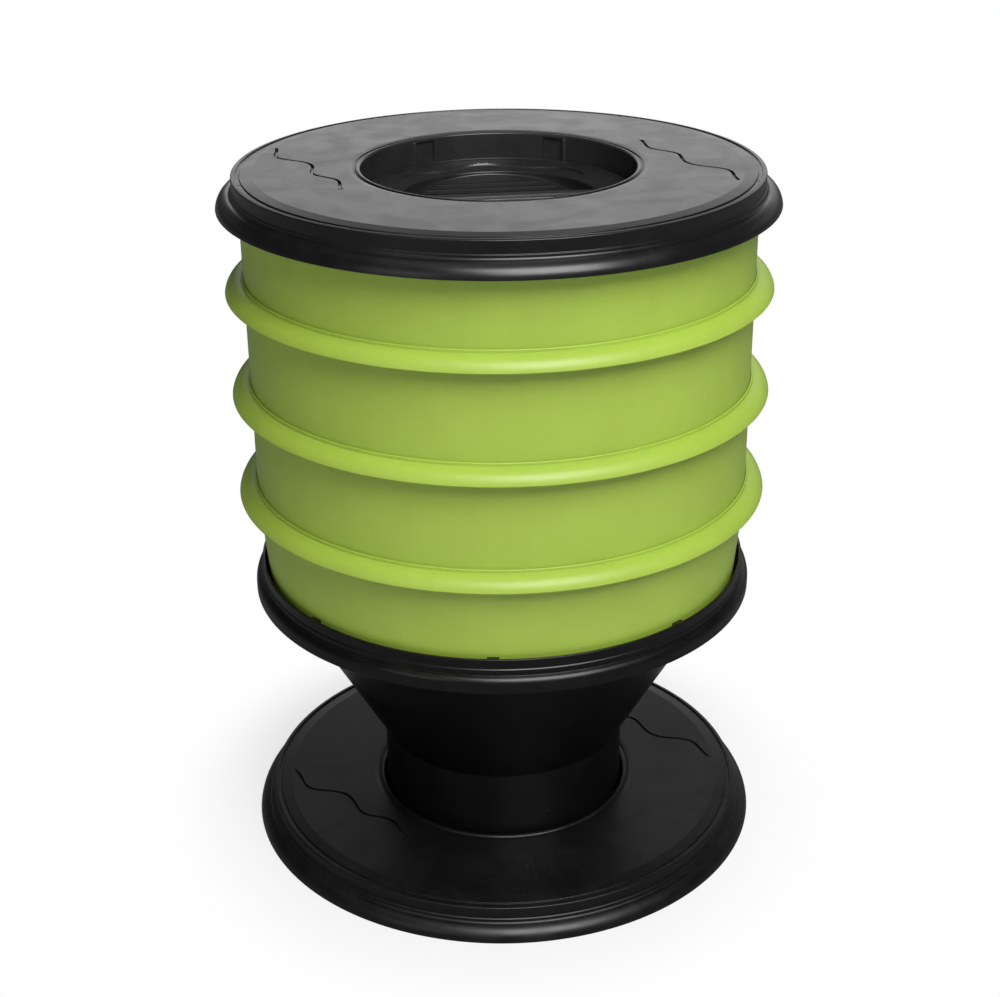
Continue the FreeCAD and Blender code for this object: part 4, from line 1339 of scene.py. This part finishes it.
    def add_boss(self, piece: bpy.types.Object) -> None:
        """Raise the tap's boss from the cone and bore it."""
        face = low("tap_outer_washer").y
        back = high("tap_inner_washer").y
        centre = (low("tap_outer_washer").z + high("tap_outer_washer").z) / 2
        for operation, radius, start, end in (("UNION", self.boss_radius, back, face),
                                              ("DIFFERENCE", self.spot_face_radius, back - 25, back),
                                              ("DIFFERENCE", self.shank_hole, back - 25, face + 5)):
            shell = Shell()
            round_off = 0.8 if operation == "UNION" else 0.0
            section = Section(closed=False).to(0, start).to(radius, start, round_off)
            shell.turn(section.to(radius, end, round_off).to(0, end), even_bearings(64))
            shell.move(Matrix.Translation((0, 0, centre)) @ Matrix.Rotation(-math.pi / 2, 4, "X"))
            tool = shell.finish("boss_tool", piece.data.materials[0])
            combine(piece, tool, operation)


@dataclass
class Cap:
    """The dished cap with its two finger wells, grip bar and wavy groove, and its gasket."""

    shop: Shop
    ridges: RidgeShape
    thickness: float = 2.2
    bead_inset: float = 1.4
    bead_width: float = 2.4
    bead_height: float = 0.7
    bead_sink: float = 0.68
    bead_round: float = 1.38
    ledge_radius: float = 108.5
    ledge_gap: float = 0.6
    dish_width: float = 18.0
    dish_depth: float = 6.2
    dish_foot: float = 0.4
    turn: float = 6.9
    well_edge: float = 3.0
    grip: float = 20.0
    shallow: float = 2.4
    deep: float = 17.0
    corner: float = 6.0
    worm: Point = (-66.0, 50.0)
    worm_waves: float = 2.5
    worm_swing: float = 2.6
    groove_width: float = 3.0
    groove_depth: float = 2.0
    head_radius: float = 2.4
    ridge_step: float = 10.0
    ridge_width: float = 1.4
    ridge_height: float = 0.8
    ridge_inset: float = 2.5

    # Steps down the dished band, and along and past the wavy groove on it
    DISH_STEPS = 42
    WORM_STEPS = 480
    WORM_MARGIN = 2
    # How close an even bearing may come to the groove's own ones
    GAP = 0.12

    # The wavy groove: depth of its two ends against the rest, and how full its round floor is
    END_DEPTH = 1.3
    BOWL = 0.45

    # The wells' rim and foot: how far outside the wall, and the lift from the middle or from the floor
    WELL_RIM = ((2.2, 0.0), (2.0, 0.1), (1.7, 0.45), (1.2, 0.66), (0.7, 0.6), (0.3, 0.3), (0.05, -0.2),
                (0.0, -0.8))
    WELL_FOOT = ((-0.15, 0.9), (-0.4, 0.4), (-0.9, 0.12), (-1.8, 0.0))
    # Chords of a well's round wall, of its corners and of its straight side
    WALL_CHORDS = 60
    CORNER_CHORDS = 12
    SIDE_CHORDS = 24

    def __post_init__(self) -> None:
        """Read the level of the cap's flat ring from the frame."""
        self.top = high("lid_cap").z - self.bead_height

    @property
    def dish_outer(self) -> float:
        """Outer radius of the dished band."""
        return self.ledge_radius - self.ledge_gap

    @property
    def dish_inner(self) -> float:
        """Inner radius of the dished band."""
        return self.dish_outer - self.dish_width

    @property
    def well_radius(self) -> float:
        """Radius of the wells' round wall."""
        return self.dish_inner - self.well_edge

    @property
    def dish(self) -> float:
        """Level of the cap's middle, at the foot of the dished band."""
        return self.top - self.dish_depth

    @property
    def floor_rise(self) -> float:
        """How much a well's floor rises for each step away from the grip."""
        return (self.deep - self.shallow) / (self.well_radius - self.grip / 2)

    def floor_level(self, along: float) -> float:
        """Height of a well's sloping floor at a distance from the grip's middle."""
        return self.dish - self.deep + (along - self.grip / 2) * self.floor_rise

    def worm_sink(self, corner: Corner, bearing: float) -> Point:
        """Depth of the wavy groove at a point of the dished band."""
        share = apart(90 - self.turn - bearing, self.worm[0])
        share /= self.worm[1] - self.worm[0]
        middle = (self.dish_outer + self.dish_inner) / 2
        reach = self.head_radius / math.radians(self.worm[1] - self.worm[0]) / middle
        clamped = min(max(share, 0.0), 1.0)
        swing = self.worm_swing * math.sin(math.tau * self.worm_waves * clamped)
        along = (share - clamped) / reach * self.head_radius
        away = math.hypot(corner.radius - middle - swing, along)
        half = self.groove_width / 2
        sink = self.groove_depth * self.bowl(away / half)
        for end in (0.0, 1.0):
            end_swing = self.worm_swing * math.sin(math.tau * self.worm_waves * end)
            far = math.hypot(corner.radius - middle - end_swing, (share - end) / reach * self.head_radius)
            size = self.head_radius if end == 0.0 else half
            depth = self.groove_depth * self.END_DEPTH * self.bowl(far / size)
            sink = max(sink, depth * (size / self.head_radius))
        return 0.0, -sink

    @staticmethod
    def bowl(share: float) -> float:
        """Depth of a round-bottomed groove, 1 in its middle and 0 past its edge."""
        return math.cos(math.pi / 2 * share)**Cap.BOWL if share < 1 else 0.0

    def well_loop(self, grow: float, level: float | Callable[[float], float], side: int) -> Loop:
        """Outline of a finger well, moved outwards by an amount.

        Args:
            grow: how far outside the well's wall the outline lies.
            level: its height, or the height as a function of the distance from the grip's middle.
            side: 1 for the back well and -1 for the front one.

        Returns:
            The closed outline.
        """
        near = self.grip / 2 - grow
        radius = self.well_radius + grow
        corner = self.corner + grow
        centre_y = near + corner
        centre_x = math.sqrt((radius - corner)**2 - centre_y**2)
        meet = math.degrees(math.atan2(centre_y, centre_x))
        flat: list[Point] = []
        for index in range(self.WALL_CHORDS + 1):
            angle = math.radians(meet + (180 - 2 * meet) * index / self.WALL_CHORDS)
            flat.append((radius * math.cos(angle), radius * math.sin(angle)))
        for index in range(1, self.CORNER_CHORDS + 1):
            angle = math.radians(180 - meet + (90 + meet) * index / self.CORNER_CHORDS)
            flat.append((-centre_x + corner * math.cos(angle), centre_y + corner * math.sin(angle)))
        for index in range(1, self.SIDE_CHORDS):
            flat.append((-centre_x + 2 * centre_x * index / self.SIDE_CHORDS, near))
        for index in range(self.CORNER_CHORDS):
            angle = math.radians(270 + (90 + meet) * index / self.CORNER_CHORDS)
            flat.append((centre_x + corner * math.cos(angle), centre_y + corner * math.sin(angle)))
        loop = []
        for across, along in flat:
            height = level(along) if callable(level) else level
            loop.append(Vector((across * side, along * side, height)))
        return loop

    def section(self) -> Section:
        """Open section of the cap's skin, from its rim to the foot of the dished band."""
        top, dish = self.top, self.dish
        outer = high("lid_cap").x
        bead = outer - self.bead_inset
        section = Section(closed=False).to(outer, top - self.thickness)
        section.to(outer, top, 0.5).to(bead, top, 0.2)
        section.arc((bead - self.bead_width / 2, top - self.bead_sink), self.bead_round, 30, 150, 8)
        section.to(self.dish_outer, top, 1.2)
        for index in range(1, self.DISH_STEPS):
            share = index / self.DISH_STEPS
            section.to(self.dish_outer - self.dish_width * share, top - self.dish_depth * share, 0.0,
                       Feature.DISH)
        return section.to(self.dish_inner, dish, 0.3).to(self.dish_inner - self.dish_foot, dish)

    def bearings(self) -> list[float]:
        """Even bearings, with closely spaced ones along the wavy groove."""
        start, end = self.worm
        first = 90 - self.turn - start + self.WORM_MARGIN
        sweep = end - start + 2 * self.WORM_MARGIN
        fine = [first - sweep * index / self.WORM_STEPS for index in range(self.WORM_STEPS + 1)]
        close = sorted({round(bearing % 360, 4) for bearing in fine})
        low_end, width = min(fine), max(fine) - min(fine)
        kept = [even for even in even_bearings(SEGMENTS) if (even - low_end) % 360 >= width
                and all(abs(apart(even, mark)) > self.GAP for mark in (close[0], close[-1]))]
        return sorted(close + kept)

    def sink_well(self, shell: Shell, side: int) -> Loop:
        """Sink a finger well into the shell.

        Args:
            shell: the shell that receives it.
            side: 1 for the back well and -1 for the front one.

        Returns:
            The well's rim, for the cap's flat middle to join.
        """
        rings = [self.well_loop(grow, self.dish + lift, side) for grow, lift in self.WELL_RIM]
        for grow, lift in self.WELL_FOOT:
            rings.append(self.well_loop(grow, lambda along, lift=lift: self.floor_level(along) + lift, side))
        shell.loft(rings)
        shell.fill([rings[-1]])
        return rings[0]

    def build(self) -> None:
        """Make the cap and its gasket, dress them and attach them."""
        bearings = self.bearings()
        shell = Shell()
        shell.turn(self.section(), bearings, self.worm_sink)
        loops = [[polar(self.dish_inner - self.dish_foot, bearing, self.dish) for bearing in bearings]]
        loops += [self.sink_well(shell, side) for side in (1, -1)]
        shell.fill(loops)
        shell.move(Matrix.Rotation(math.radians(self.turn), 4, "Z"))
        piece = shell.finish("cap_moulding", self.shop.materials[Slot.CAP])
        self.thicken(piece)
        start = self.grip / 2 + self.ridge_step
        count = int((self.well_radius - self.ridge_step - start) // self.ridge_step) + 1
        for side in (1, -1):
            self.ridges.apply(piece, Count=count, Start=start * MM, Step=self.ridge_step * MM,
                              Reach=(self.well_radius - self.ridge_inset) * MM,
                              Base=(self.dish - self.deep - self.grip / 2 * self.floor_rise + 0.1) * MM,
                              Slope=self.floor_rise, Width=self.ridge_width * MM,
                              Height=self.ridge_height * 2 * MM, Side=float(side),
                              Turn=math.radians(self.turn))
        self.shop.attach(piece, "cap", Slot.CAP, "lid_cap")
        self.build_gasket()

    def thicken(self, piece: bpy.types.Object) -> None:
        """Give the cap's skin its wall, downwards."""
        modifier = piece.modifiers.new("wall", "SOLIDIFY")
        modifier.thickness = self.thickness * MM
        modifier.offset = -1.0
        modifier.use_quality_normals = True
        settle(piece, modifier)

    def build_gasket(self) -> None:
        """Make the flat gasket under the cap's ring."""
        bottom, top, outer = low("cap_seal").z, high("cap_seal").z, high("cap_seal").x
        section = Section().to(self.ledge_radius, bottom, 0.3).to(outer, bottom, 0.3)
        section.to(outer, top, 0.3).to(self.ledge_radius, top, 0.3)
        shell = Shell()
        shell.turn(section, even_bearings(SEGMENTS))
        piece = shell.finish("cap_gasket", self.shop.materials[Slot.SEAL])
        self.shop.attach(piece, "cap", Slot.SEAL, "cap_seal")


@dataclass
class Tap:
    """The drain tap at the back: body, barrel, spout, washers, nut, lever and screw."""

    shop: Shop
    bore: float = 5.0
    tube: float = 10.5
    spout: float = 8.0
    bend: float = 9.0
    barrel: float = 13.0
    shank: float = 10.0
    thread_pitch: float = 1.8
    thread_depth: float = 0.9
    flange: float = 16.0
    flange_depth: float = 3.5
    barrel_sink: float = 15.0
    seat: float = 9.06
    seat_sink: float = 12.0
    lip: float = 0.9
    nut_bevel: float = 1.1
    lever_width: float = 12.0
    dip_depth: float = 1.2
    dip_place: float = 27.0
    dip_reach: float = 9.0
    screw: float = 2.0
    screw_gap: float = 0.05
    head_edge: float = 1.0
    slot_turn: float = 23.7

    # Outline of the screw's slot, and how far it is cut in
    SLOT = ((-6, -0.5), (6, -0.5), (6, 0.5), (-6, 0.5))
    SLOT_DEPTH = 1.0
    # Bearings round the smaller and the larger of the tap's pieces
    COARSE, FINE = 64, 96

    def __post_init__(self) -> None:
        """Read the tap's places from the frame."""
        self.level = (low("tap_outer_washer").z + high("tap_outer_washer").z) / 2
        self.face = high("tap_outer_washer").y
        self.barrel_y = (low("tap_plug").y + high("tap_plug").y) / 2
        self.spout_y = high("tap_body").y - self.tube
        self.barrel_top = high("tap_body").z

    def lying(self) -> Matrix:
        """Lays a shape that was turned about Z along Y, at the tap's level."""
        return Matrix.Translation((0, 0, self.level)) @ Matrix.Rotation(-math.pi / 2, 4, "X")

    def upright(self) -> Matrix:
        """Moves a shape that was turned about Z onto the barrel's axis."""
        return Matrix.Translation((0, self.barrel_y, 0))

    def turned(self, name: str, section: Section, place: Matrix, slot: Slot, count: int = FINE,
               shift: Shift | None = None) -> bpy.types.Object:
        """Turn one section, put it in place and make it an object.

        Args:
            name: the piece's name.
            section: its half section.
            place: where it goes.
            slot: whose finish it gets.
            count: number of bearings round it.
            shift: moves a featured corner, for a nut's flats.

        Returns:
            The new object.
        """
        shell = Shell()
        shell.turn(section, even_bearings(count), shift)
        shell.move(place)
        return shell.finish(name, self.shop.materials[slot])

    def lofted(self, name: str, rings: list[Loop], slot: Slot) -> bpy.types.Object:
        """Join closed rings, cap both ends and make the shape an object."""
        shell = Shell()
        shell.loft(rings, caps=True)
        return shell.finish(name, self.shop.materials[slot])

    def build(self) -> None:
        """Make all of the tap's pieces."""
        self.build_body()
        self.build_seals()
        self.build_lever()
        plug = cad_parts["tap_plug"]
        plug.data.materials.clear()
        plug.data.materials.append(self.shop.materials[Slot.TAP])

    def build_body(self) -> None:
        """Shank with rolled thread, flange, tube, barrel and bent spout."""
        end, bottom, top = low("tap_body").y, low("tap_body").z, self.barrel_top
        piece = self.turned("tap_body_moulding", self.shank_section(end), self.lying(), Slot.TAP)
        foot = self.level - self.barrel_sink
        section = Section(closed=False).to(0, foot).to(self.barrel - 3, foot, 1.2)
        section.to(self.barrel - 1.2, foot + 2.5, 0.8).to(self.barrel - 1.2, top - 6.5, 0.5)
        section.to(self.barrel, top - 5.5, 0.6).to(self.barrel, top, 0.7).to(0, top)
        combine(piece, self.turned("tap_barrel", section, self.upright(), Slot.TAP), "UNION")
        combine(piece, self.lofted("tap_spout", self.spout_rings(bottom), Slot.TAP), "UNION")
        floor = self.level - self.seat_sink
        section = Section(closed=False).to(0, floor).to(self.seat, floor, 0.3)
        section.to(self.seat, top + 1).to(0, top + 1)
        hollow = self.lofted("tap_way", self.bore_rings(end - 1.0, bottom - 1.0), Slot.TAP)
        combine(hollow, self.turned("tap_seat", section, self.upright(), Slot.TAP), "UNION")
        combine(piece, hollow, "DIFFERENCE")
        self.shop.attach(piece, "collector", Slot.TAP, "tap_body")

    def shank_section(self, end: float) -> Section:
        """Section of the threaded shank, the flange and the tube, from the shank's end to the barrel."""
        face = self.face
        root = self.shank - self.thread_depth
        section = Section(closed=False).to(0, end).to(self.shank - 1.0, end, 0.3)
        start = end + 1.0
        while start < face - 1.5:
            section.to(root, start).to(self.shank, start + self.thread_pitch / 2, 0.15)
            start += self.thread_pitch
        section.to(root, face).to(self.flange, face, 0.5).to(self.flange, face + self.flange_depth, 1.0)
        section.to(12.5, face + self.flange_depth, 1.5).to(11.6, face + 6.5, 1.0)
        section.to(self.tube, face + 9, 1.5)
        return section.to(self.tube, self.barrel_y - 2).to(0, self.barrel_y - 2)

    def bore_rings(self, start: float, bottom: float) -> list[Loop]:
        """Rings along the waterway from the shank's end round the bend and out of the spout."""
        path = [(Vector((0, start, self.level)), Vector((0, 1, 0))), *self.round_bend(8)]
        path.append((Vector((0, self.spout_y, bottom)), Vector((0, 0, -1))))
        return [self.ring(spot, ahead, self.bore) for spot, ahead in path]

    def round_bend(self, steps: int) -> list[tuple[Vector, Vector]]:
        """Points and directions along the bend's middle line, from level to straight down."""
        centre = Vector((0, self.spout_y - self.bend, self.level - self.bend))
        path = []
        for index in range(steps + 1):
            angle = math.radians(90 * index / steps)
            spot = centre + self.bend * Vector((0, math.sin(angle), math.cos(angle)))
            path.append((spot, Vector((0, math.cos(angle), -math.sin(angle)))))
        return path

    @staticmethod
    def ring(spot: Vector, ahead: Vector, size: float) -> Loop:
        """Circle of a given radius across a path in the tap's upright plane."""
        aside = Vector((1, 0, 0))
        up = ahead.cross(aside)
        angles = [math.tau * index / Tap.COARSE for index in range(Tap.COARSE)]
        return [spot + size * (math.cos(angle) * aside + math.sin(angle) * up) for angle in angles]

    def spout_rings(self, bottom: float) -> list[Loop]:
        """Rings along the outside of the bent spout, down to its lip."""
        start = Vector((0, self.barrel_y + 2, self.level))
        path: list[tuple[Vector, Vector, float]] = [(start, Vector((0, 1, 0)), self.tube)]
        for index, (spot, ahead) in enumerate(self.round_bend(12)):
            path.append((spot, ahead, self.tube - (self.tube - self.spout) * max(0.0, index - 5) / 7))
        down = Vector((0, 0, -1))
        column = ((7.0, 0.0), (6.5, 0.0), (6.2, self.lip), (3.0, self.lip), (2.6, 0.0), (0.7, 0.0),
                  (0.2, -0.2), (0.0, -0.7))
        path += [(Vector((0, self.spout_y, bottom + height)), down, self.spout + swell)
                 for height, swell in column]
        return [self.ring(spot, ahead, size) for spot, ahead, size in path]

    def build_seals(self) -> None:
        """Make both washers and the nut."""
        for node, name in (("tap_outer_washer", "tap_outer_seal"), ("tap_inner_washer", "tap_inner_seal")):
            start, end, outer = low(node).y, high(node).y, high(node).x
            section = Section().to(self.shank + 0.3, start, 0.2).to(outer, start, 0.4)
            section.to(outer, end, 0.4).to(self.shank + 0.3, end, 0.2)
            piece = self.turned(name, section, self.lying(), Slot.SEAL)
            self.shop.attach(piece, "collector", Slot.SEAL, node)
        start, end, corner = low("tap_nut").y, high("tap_nut").y, high("tap_nut").x
        flat = corner * math.cos(math.radians(30))

        def hexagon(point: Corner, bearing: float) -> Point:
            """Bring a point on the nut's outer circle in to its six flats."""
            off = math.radians(bearing % 60 - 30)
            return min(flat / math.cos(off), corner) - point.radius, 0.0

        section = Section().to(self.shank + 0.05, start, 0.2).to(flat - 0.3, start, 0.3)
        section.to(corner, start + self.nut_bevel, 0.0, Feature.HEXAGON)
        section.to(corner, end - self.nut_bevel, 0.0, Feature.HEXAGON)
        section.to(flat - 0.3, end, 0.3).to(self.shank + 0.05, end, 0.2)
        piece = self.turned("tap_nut_moulding", section, self.lying(), Slot.TAP, shift=hexagon)
        self.shop.attach(piece, "collector", Slot.TAP, "tap_nut")

    def build_lever(self) -> None:
        """Make the lever with its thumb swell and the screw that holds it."""
        bottom, top = low("tap_lever").z, high("tap_lever").z
        tip = high("tap_lever").x - self.lever_width / 2
        rings = []
        for inset, level in ((1.1, bottom), (0.3, bottom + 0.3), (0.0, bottom + 1.1), (0.0, top - 1.4),
                             (0.4, top - 0.4), (1.5, top)):
            ring = []
            for across, along in self.lever_outline(tip):
                spot = Vector((across, along, 0))
                anchor = Vector((min(max(across, 0.0), tip), 0, 0))
                spot += (anchor - spot).normalized() * inset
                dip = 0.0
                if level > (bottom + top) / 2:
                    dip = self.dip_depth * math.exp(-((across - self.dip_place) / self.dip_reach)**2)
                ring.append(Vector((spot.x, spot.y + self.barrel_y, level - dip)))
            rings.append(ring)
        piece = self.lofted("tap_lever_moulding", rings, Slot.LEVER)
        hole = self.screw + self.screw_gap
        section = Section(closed=False).to(0, bottom - 1).to(hole, bottom - 1)
        section.to(hole, top + 1).to(0, top + 1)
        drill = self.turned("hole_tool", section, self.upright(), Slot.LEVER, self.COARSE)
        combine(piece, drill, "DIFFERENCE")
        self.shop.attach(piece, "tap_lever", Slot.LEVER, "tap_lever")
        self.build_screw(top)

    def lever_outline(self, tip: float) -> list[Point]:
        """Outline of the lever round the barrel's axis and its round tip, seen from above."""
        half = self.lever_width / 2
        lean = math.degrees(math.asin((self.barrel - half) / tip))
        outline: list[Point] = []
        for index in range(41):
            angle = math.radians(90 - lean + (180 + 2 * lean) * index / 40)
            outline.append((self.barrel * math.cos(angle), self.barrel * math.sin(angle)))
        for index in range(21):
            angle = math.radians(-90 + lean + (180 - 2 * lean) * index / 20)
            outline.append((tip + half * math.cos(angle), half * math.sin(angle)))
        return outline

    def build_screw(self, seat: float) -> None:
        """Make the slotted screw whose head sits on the lever."""
        start, end, head = low("lever_screw").z, high("lever_screw").z, high("lever_screw").x
        section = Section(closed=False).to(0, start).to(self.screw, start, 0.3).to(self.screw, seat)
        section.to(head, seat, 0.2).to(head, seat + self.head_edge, 0.6).to(head - 1.4, end, 1.2).to(0, end)
        screw = self.turned("lever_screw_turned", section, self.upright(), Slot.SCREW, self.COARSE)
        turn = Matrix.Rotation(math.radians(self.slot_turn), 3, "Z")
        slot = [turn @ Vector((across, along, 0)) for across, along in self.SLOT]
        rings = [[point + Vector((0, self.barrel_y, level)) for point in slot]
                 for level in (end - self.SLOT_DEPTH, end + self.SLOT_DEPTH)]
        combine(screw, self.lofted("slot_tool", rings, Slot.SCREW), "DIFFERENCE")
        self.shop.attach(screw, "tap_lever", Slot.SCREW, "lever_screw")


@dataclass(frozen=True)
class Softbox:
    """A square area light.

    Args:
        name: the lamp's name.
        place: where it hangs, in metres.
        target: the point it faces.
        size: its side, in metres.
        power: its power in watts.
        colour: its linear colour.
        glossy: whether it shows in reflections.
    """

    name: str
    place: Point3
    target: Point3
    size: float
    power: float
    colour: Point3 = (1.0, 1.0, 1.0)
    glossy: bool = True

    def hang(self) -> None:
        """Add the lamp to the scene."""
        data = bpy.data.lights.new(self.name, "AREA")
        data.size = self.size
        data.energy = self.power
        data.color = self.colour
        lamp = bpy.data.objects.new(self.name, data)
        lamp.visible_glossy = self.glossy
        lamp.location = self.place
        facing = Vector(self.target) - Vector(self.place)
        lamp.rotation_mode = "QUATERNION"
        lamp.rotation_quaternion = facing.to_track_quat("-Z", "Y")
        bpy.context.scene.collection.objects.link(lamp)


@dataclass
class Studio:
    """Camera, floor, world and lamps, with places and reaches in metres."""

    lens: float = 62.44
    sensor: float = 36.0
    place: Point3 = (-0.0013, -1.4714, 0.9968)
    pitch: float = 24.66
    roll: float = -0.5
    floor_reach: float = 14.0
    floor_tone: float = 0.80
    ambient: float = 0.06
    floor_gloss: float = 0.17
    gloss_behind: float = 1.5
    gloss_side: float = 0.035
    gloss_low: float = 0.15
    gloss_above: float = 0.07
    gloss_overhead: float = 0.5
    band_foot: Point = (0.03, 0.13)
    band_top: float = 0.285
    band_end: float = 0.50
    band_low: float = 0.37
    band_middle: float = 0.05
    dim_left: float = 0.06
    dim_right: float = 0.30

    # Parts of the view direction over which the gloss room fades: behind, to each side and overhead
    BEHIND = (0.3, 0.9)
    LEFT = (-0.38, -0.2)
    RIGHT = (0.22, 0.5)
    OVERHEAD = (0.86, 0.96)
    # Distances from the axis in metres over which the floor turns white, and its least share of white
    WHITE_FROM, WHITE_AT, LEAST_WHITE = 0.20, 0.36, 0.62

    LAMPS = (Softbox("key", (0.75, -1.9, 2.85), (0, 0, 0.35), 2.0, 124),
             Softbox("fill", (-1.7, -2.3, 1.5), (0, 0, 0.3), 1.4, 6),
             Softbox("back", (0.5, 2.4, 2.2), (0, 0, 0.3), 2.0, 30, glossy=False))

    def build(self) -> None:
        """Set up everything round the object."""
        self.add_camera()
        self.add_world()
        self.add_floor()
        for lamp in self.LAMPS:
            lamp.hang()

    def add_camera(self) -> None:
        """Stand the camera where the photograph was taken."""
        data = bpy.data.cameras.new("camera")
        data.lens = self.lens
        data.sensor_width = self.sensor
        data.sensor_fit = "HORIZONTAL"
        camera = bpy.data.objects.new("camera", data)
        tilt = Matrix.Rotation(math.radians(90 - self.pitch), 4, "X")
        turn = tilt @ Matrix.Rotation(math.radians(self.roll), 4, "Z")
        camera.matrix_world = Matrix.Translation(self.place) @ turn
        bpy.context.scene.collection.objects.link(camera)
        bpy.context.scene.camera = camera

    def add_world(self) -> None:
        """A dim room, white where the camera looks past everything, with a room of its own for gloss."""
        world = bpy.data.worlds.new("room")
        world.use_nodes = True
        graph = Graph(world.node_tree)
        background = world.node_tree.nodes["Background"]
        seen = graph.add("ShaderNodeLightPath").outputs
        direct = graph.maths("MAXIMUM", seen["Is Camera Ray"], seen["Is Transmission Ray"])
        room = graph.blend(seen["Is Glossy Ray"], tone(1, 1, 1, self.ambient), self.gloss_room(graph))
        graph.tree.links.new(graph.blend(direct, room, tone(1, 1, 1)), background.inputs["Color"])
        bpy.context.scene.world = world

    def gloss_room(self, graph: Graph) -> Socket:
        """What reflections see: bright low behind the object, weaker overhead and dim elsewhere."""
        place = graph.add("ShaderNodeTexCoord").outputs["Generated"]
        way = graph.add("ShaderNodeSeparateXYZ", {0: place}).outputs
        aside = graph.maths("ABSOLUTE", graph.minus(way["X"], self.band_middle))
        end = graph.maths("MAXIMUM", graph.minus(self.band_end, aside), self.band_low)
        above = graph.maths("DIVIDE", graph.minus(way["Z"], self.band_top), graph.minus(end, self.band_top))
        height = graph.times(graph.ramp(above, 0.0, 1.0, 1.0, self.gloss_above),
                             graph.ramp(way["Z"], *self.band_foot, self.gloss_low, 1.0))
        left = graph.ramp(way["X"], *self.LEFT, self.dim_left, 1.0)
        right = graph.ramp(way["X"], *self.RIGHT, 1.0, self.dim_right)
        behind = graph.times(graph.ramp(way["Y"], *self.BEHIND), graph.times(left, right))
        white = graph.blend(behind, tone(1, 1, 1, self.gloss_side), tone(1, 1, 1, self.gloss_behind))
        overhead = graph.ramp(way["Z"], *self.OVERHEAD, 0.0, self.gloss_overhead)
        return graph.blend(1.0, graph.blend(1.0, white, graph.grey(height), "MULTIPLY"),
                           graph.grey(overhead), "ADD")

    def add_floor(self) -> None:
        """A pale floor that keeps the object's shadow and turns plain white further out."""
        reach = self.floor_reach
        data = bpy.data.meshes.new("floor")
        corners = [(-reach, -reach, 0), (reach, -reach, 0), (reach, reach, 0), (-reach, reach, 0)]
        data.from_pydata(corners, [], [(0, 1, 2, 3)])
        floor = bpy.data.objects.new("floor", data)
        floor.location.z = -0.0002
        bpy.context.scene.collection.objects.link(floor)
        material = bpy.data.materials.new("pale_floor")
        material.use_nodes = True
        graph = Graph(material.node_tree)
        shader = material.node_tree.nodes["Principled BSDF"]
        shader.inputs["Base Color"].default_value = tone(1, 1, 1, self.floor_tone)
        shader.inputs["Roughness"].default_value = 0.9
        shader.inputs["Specular IOR Level"].default_value = 0.1
        place = graph.add("ShaderNodeTexCoord").outputs["Object"]
        seen = graph.add("ShaderNodeLightPath").outputs
        white = graph.add("ShaderNodeEmission", {"Strength": 1.0}).outputs[0]
        grey = graph.add("ShaderNodeEmission", {"Strength": self.floor_gloss}).outputs[0]
        ramp = graph.ramp(graph.length(place), self.WHITE_FROM, self.WHITE_AT, self.LEAST_WHITE, 1.0)
        share = graph.times(ramp, seen["Is Camera Ray"])
        inputs = {0: seen["Is Glossy Ray"], 1: shader.outputs[0], 2: grey}
        base = graph.add("ShaderNodeMixShader", inputs).outputs[0]
        mixed = graph.add("ShaderNodeMixShader", {0: share, 1: base, 2: white}).outputs[0]
        graph.tree.links.new(mixed, material.node_tree.nodes["Material Output"].inputs[0])
        data.materials.append(material)


def main() -> None:
    """Build the studio and every piece."""
    logging.basicConfig(level=logging.INFO, format="%(name)s: %(message)s")
    bpy.context.scene.view_settings.view_transform = "Standard"
    Studio().build()
    shop = Shop()
    stiffeners = StiffenerShape()
    RoundPlate(shop, stiffeners, "base_plate", "base", Slot.BASE, turn=200.0).build()
    RoundPlate(shop, stiffeners, "lid", "lid", Slot.LID).build()
    Collector(shop).build()
    floor = FloorShape()
    for number in range(1, 5):
        Tray(shop, floor, f"tray_{number}", lowest=number == 1).build()
    Cap(shop, RidgeShape()).build()
    Tap(shop).build()


if __name__ == "__main__":
    main()
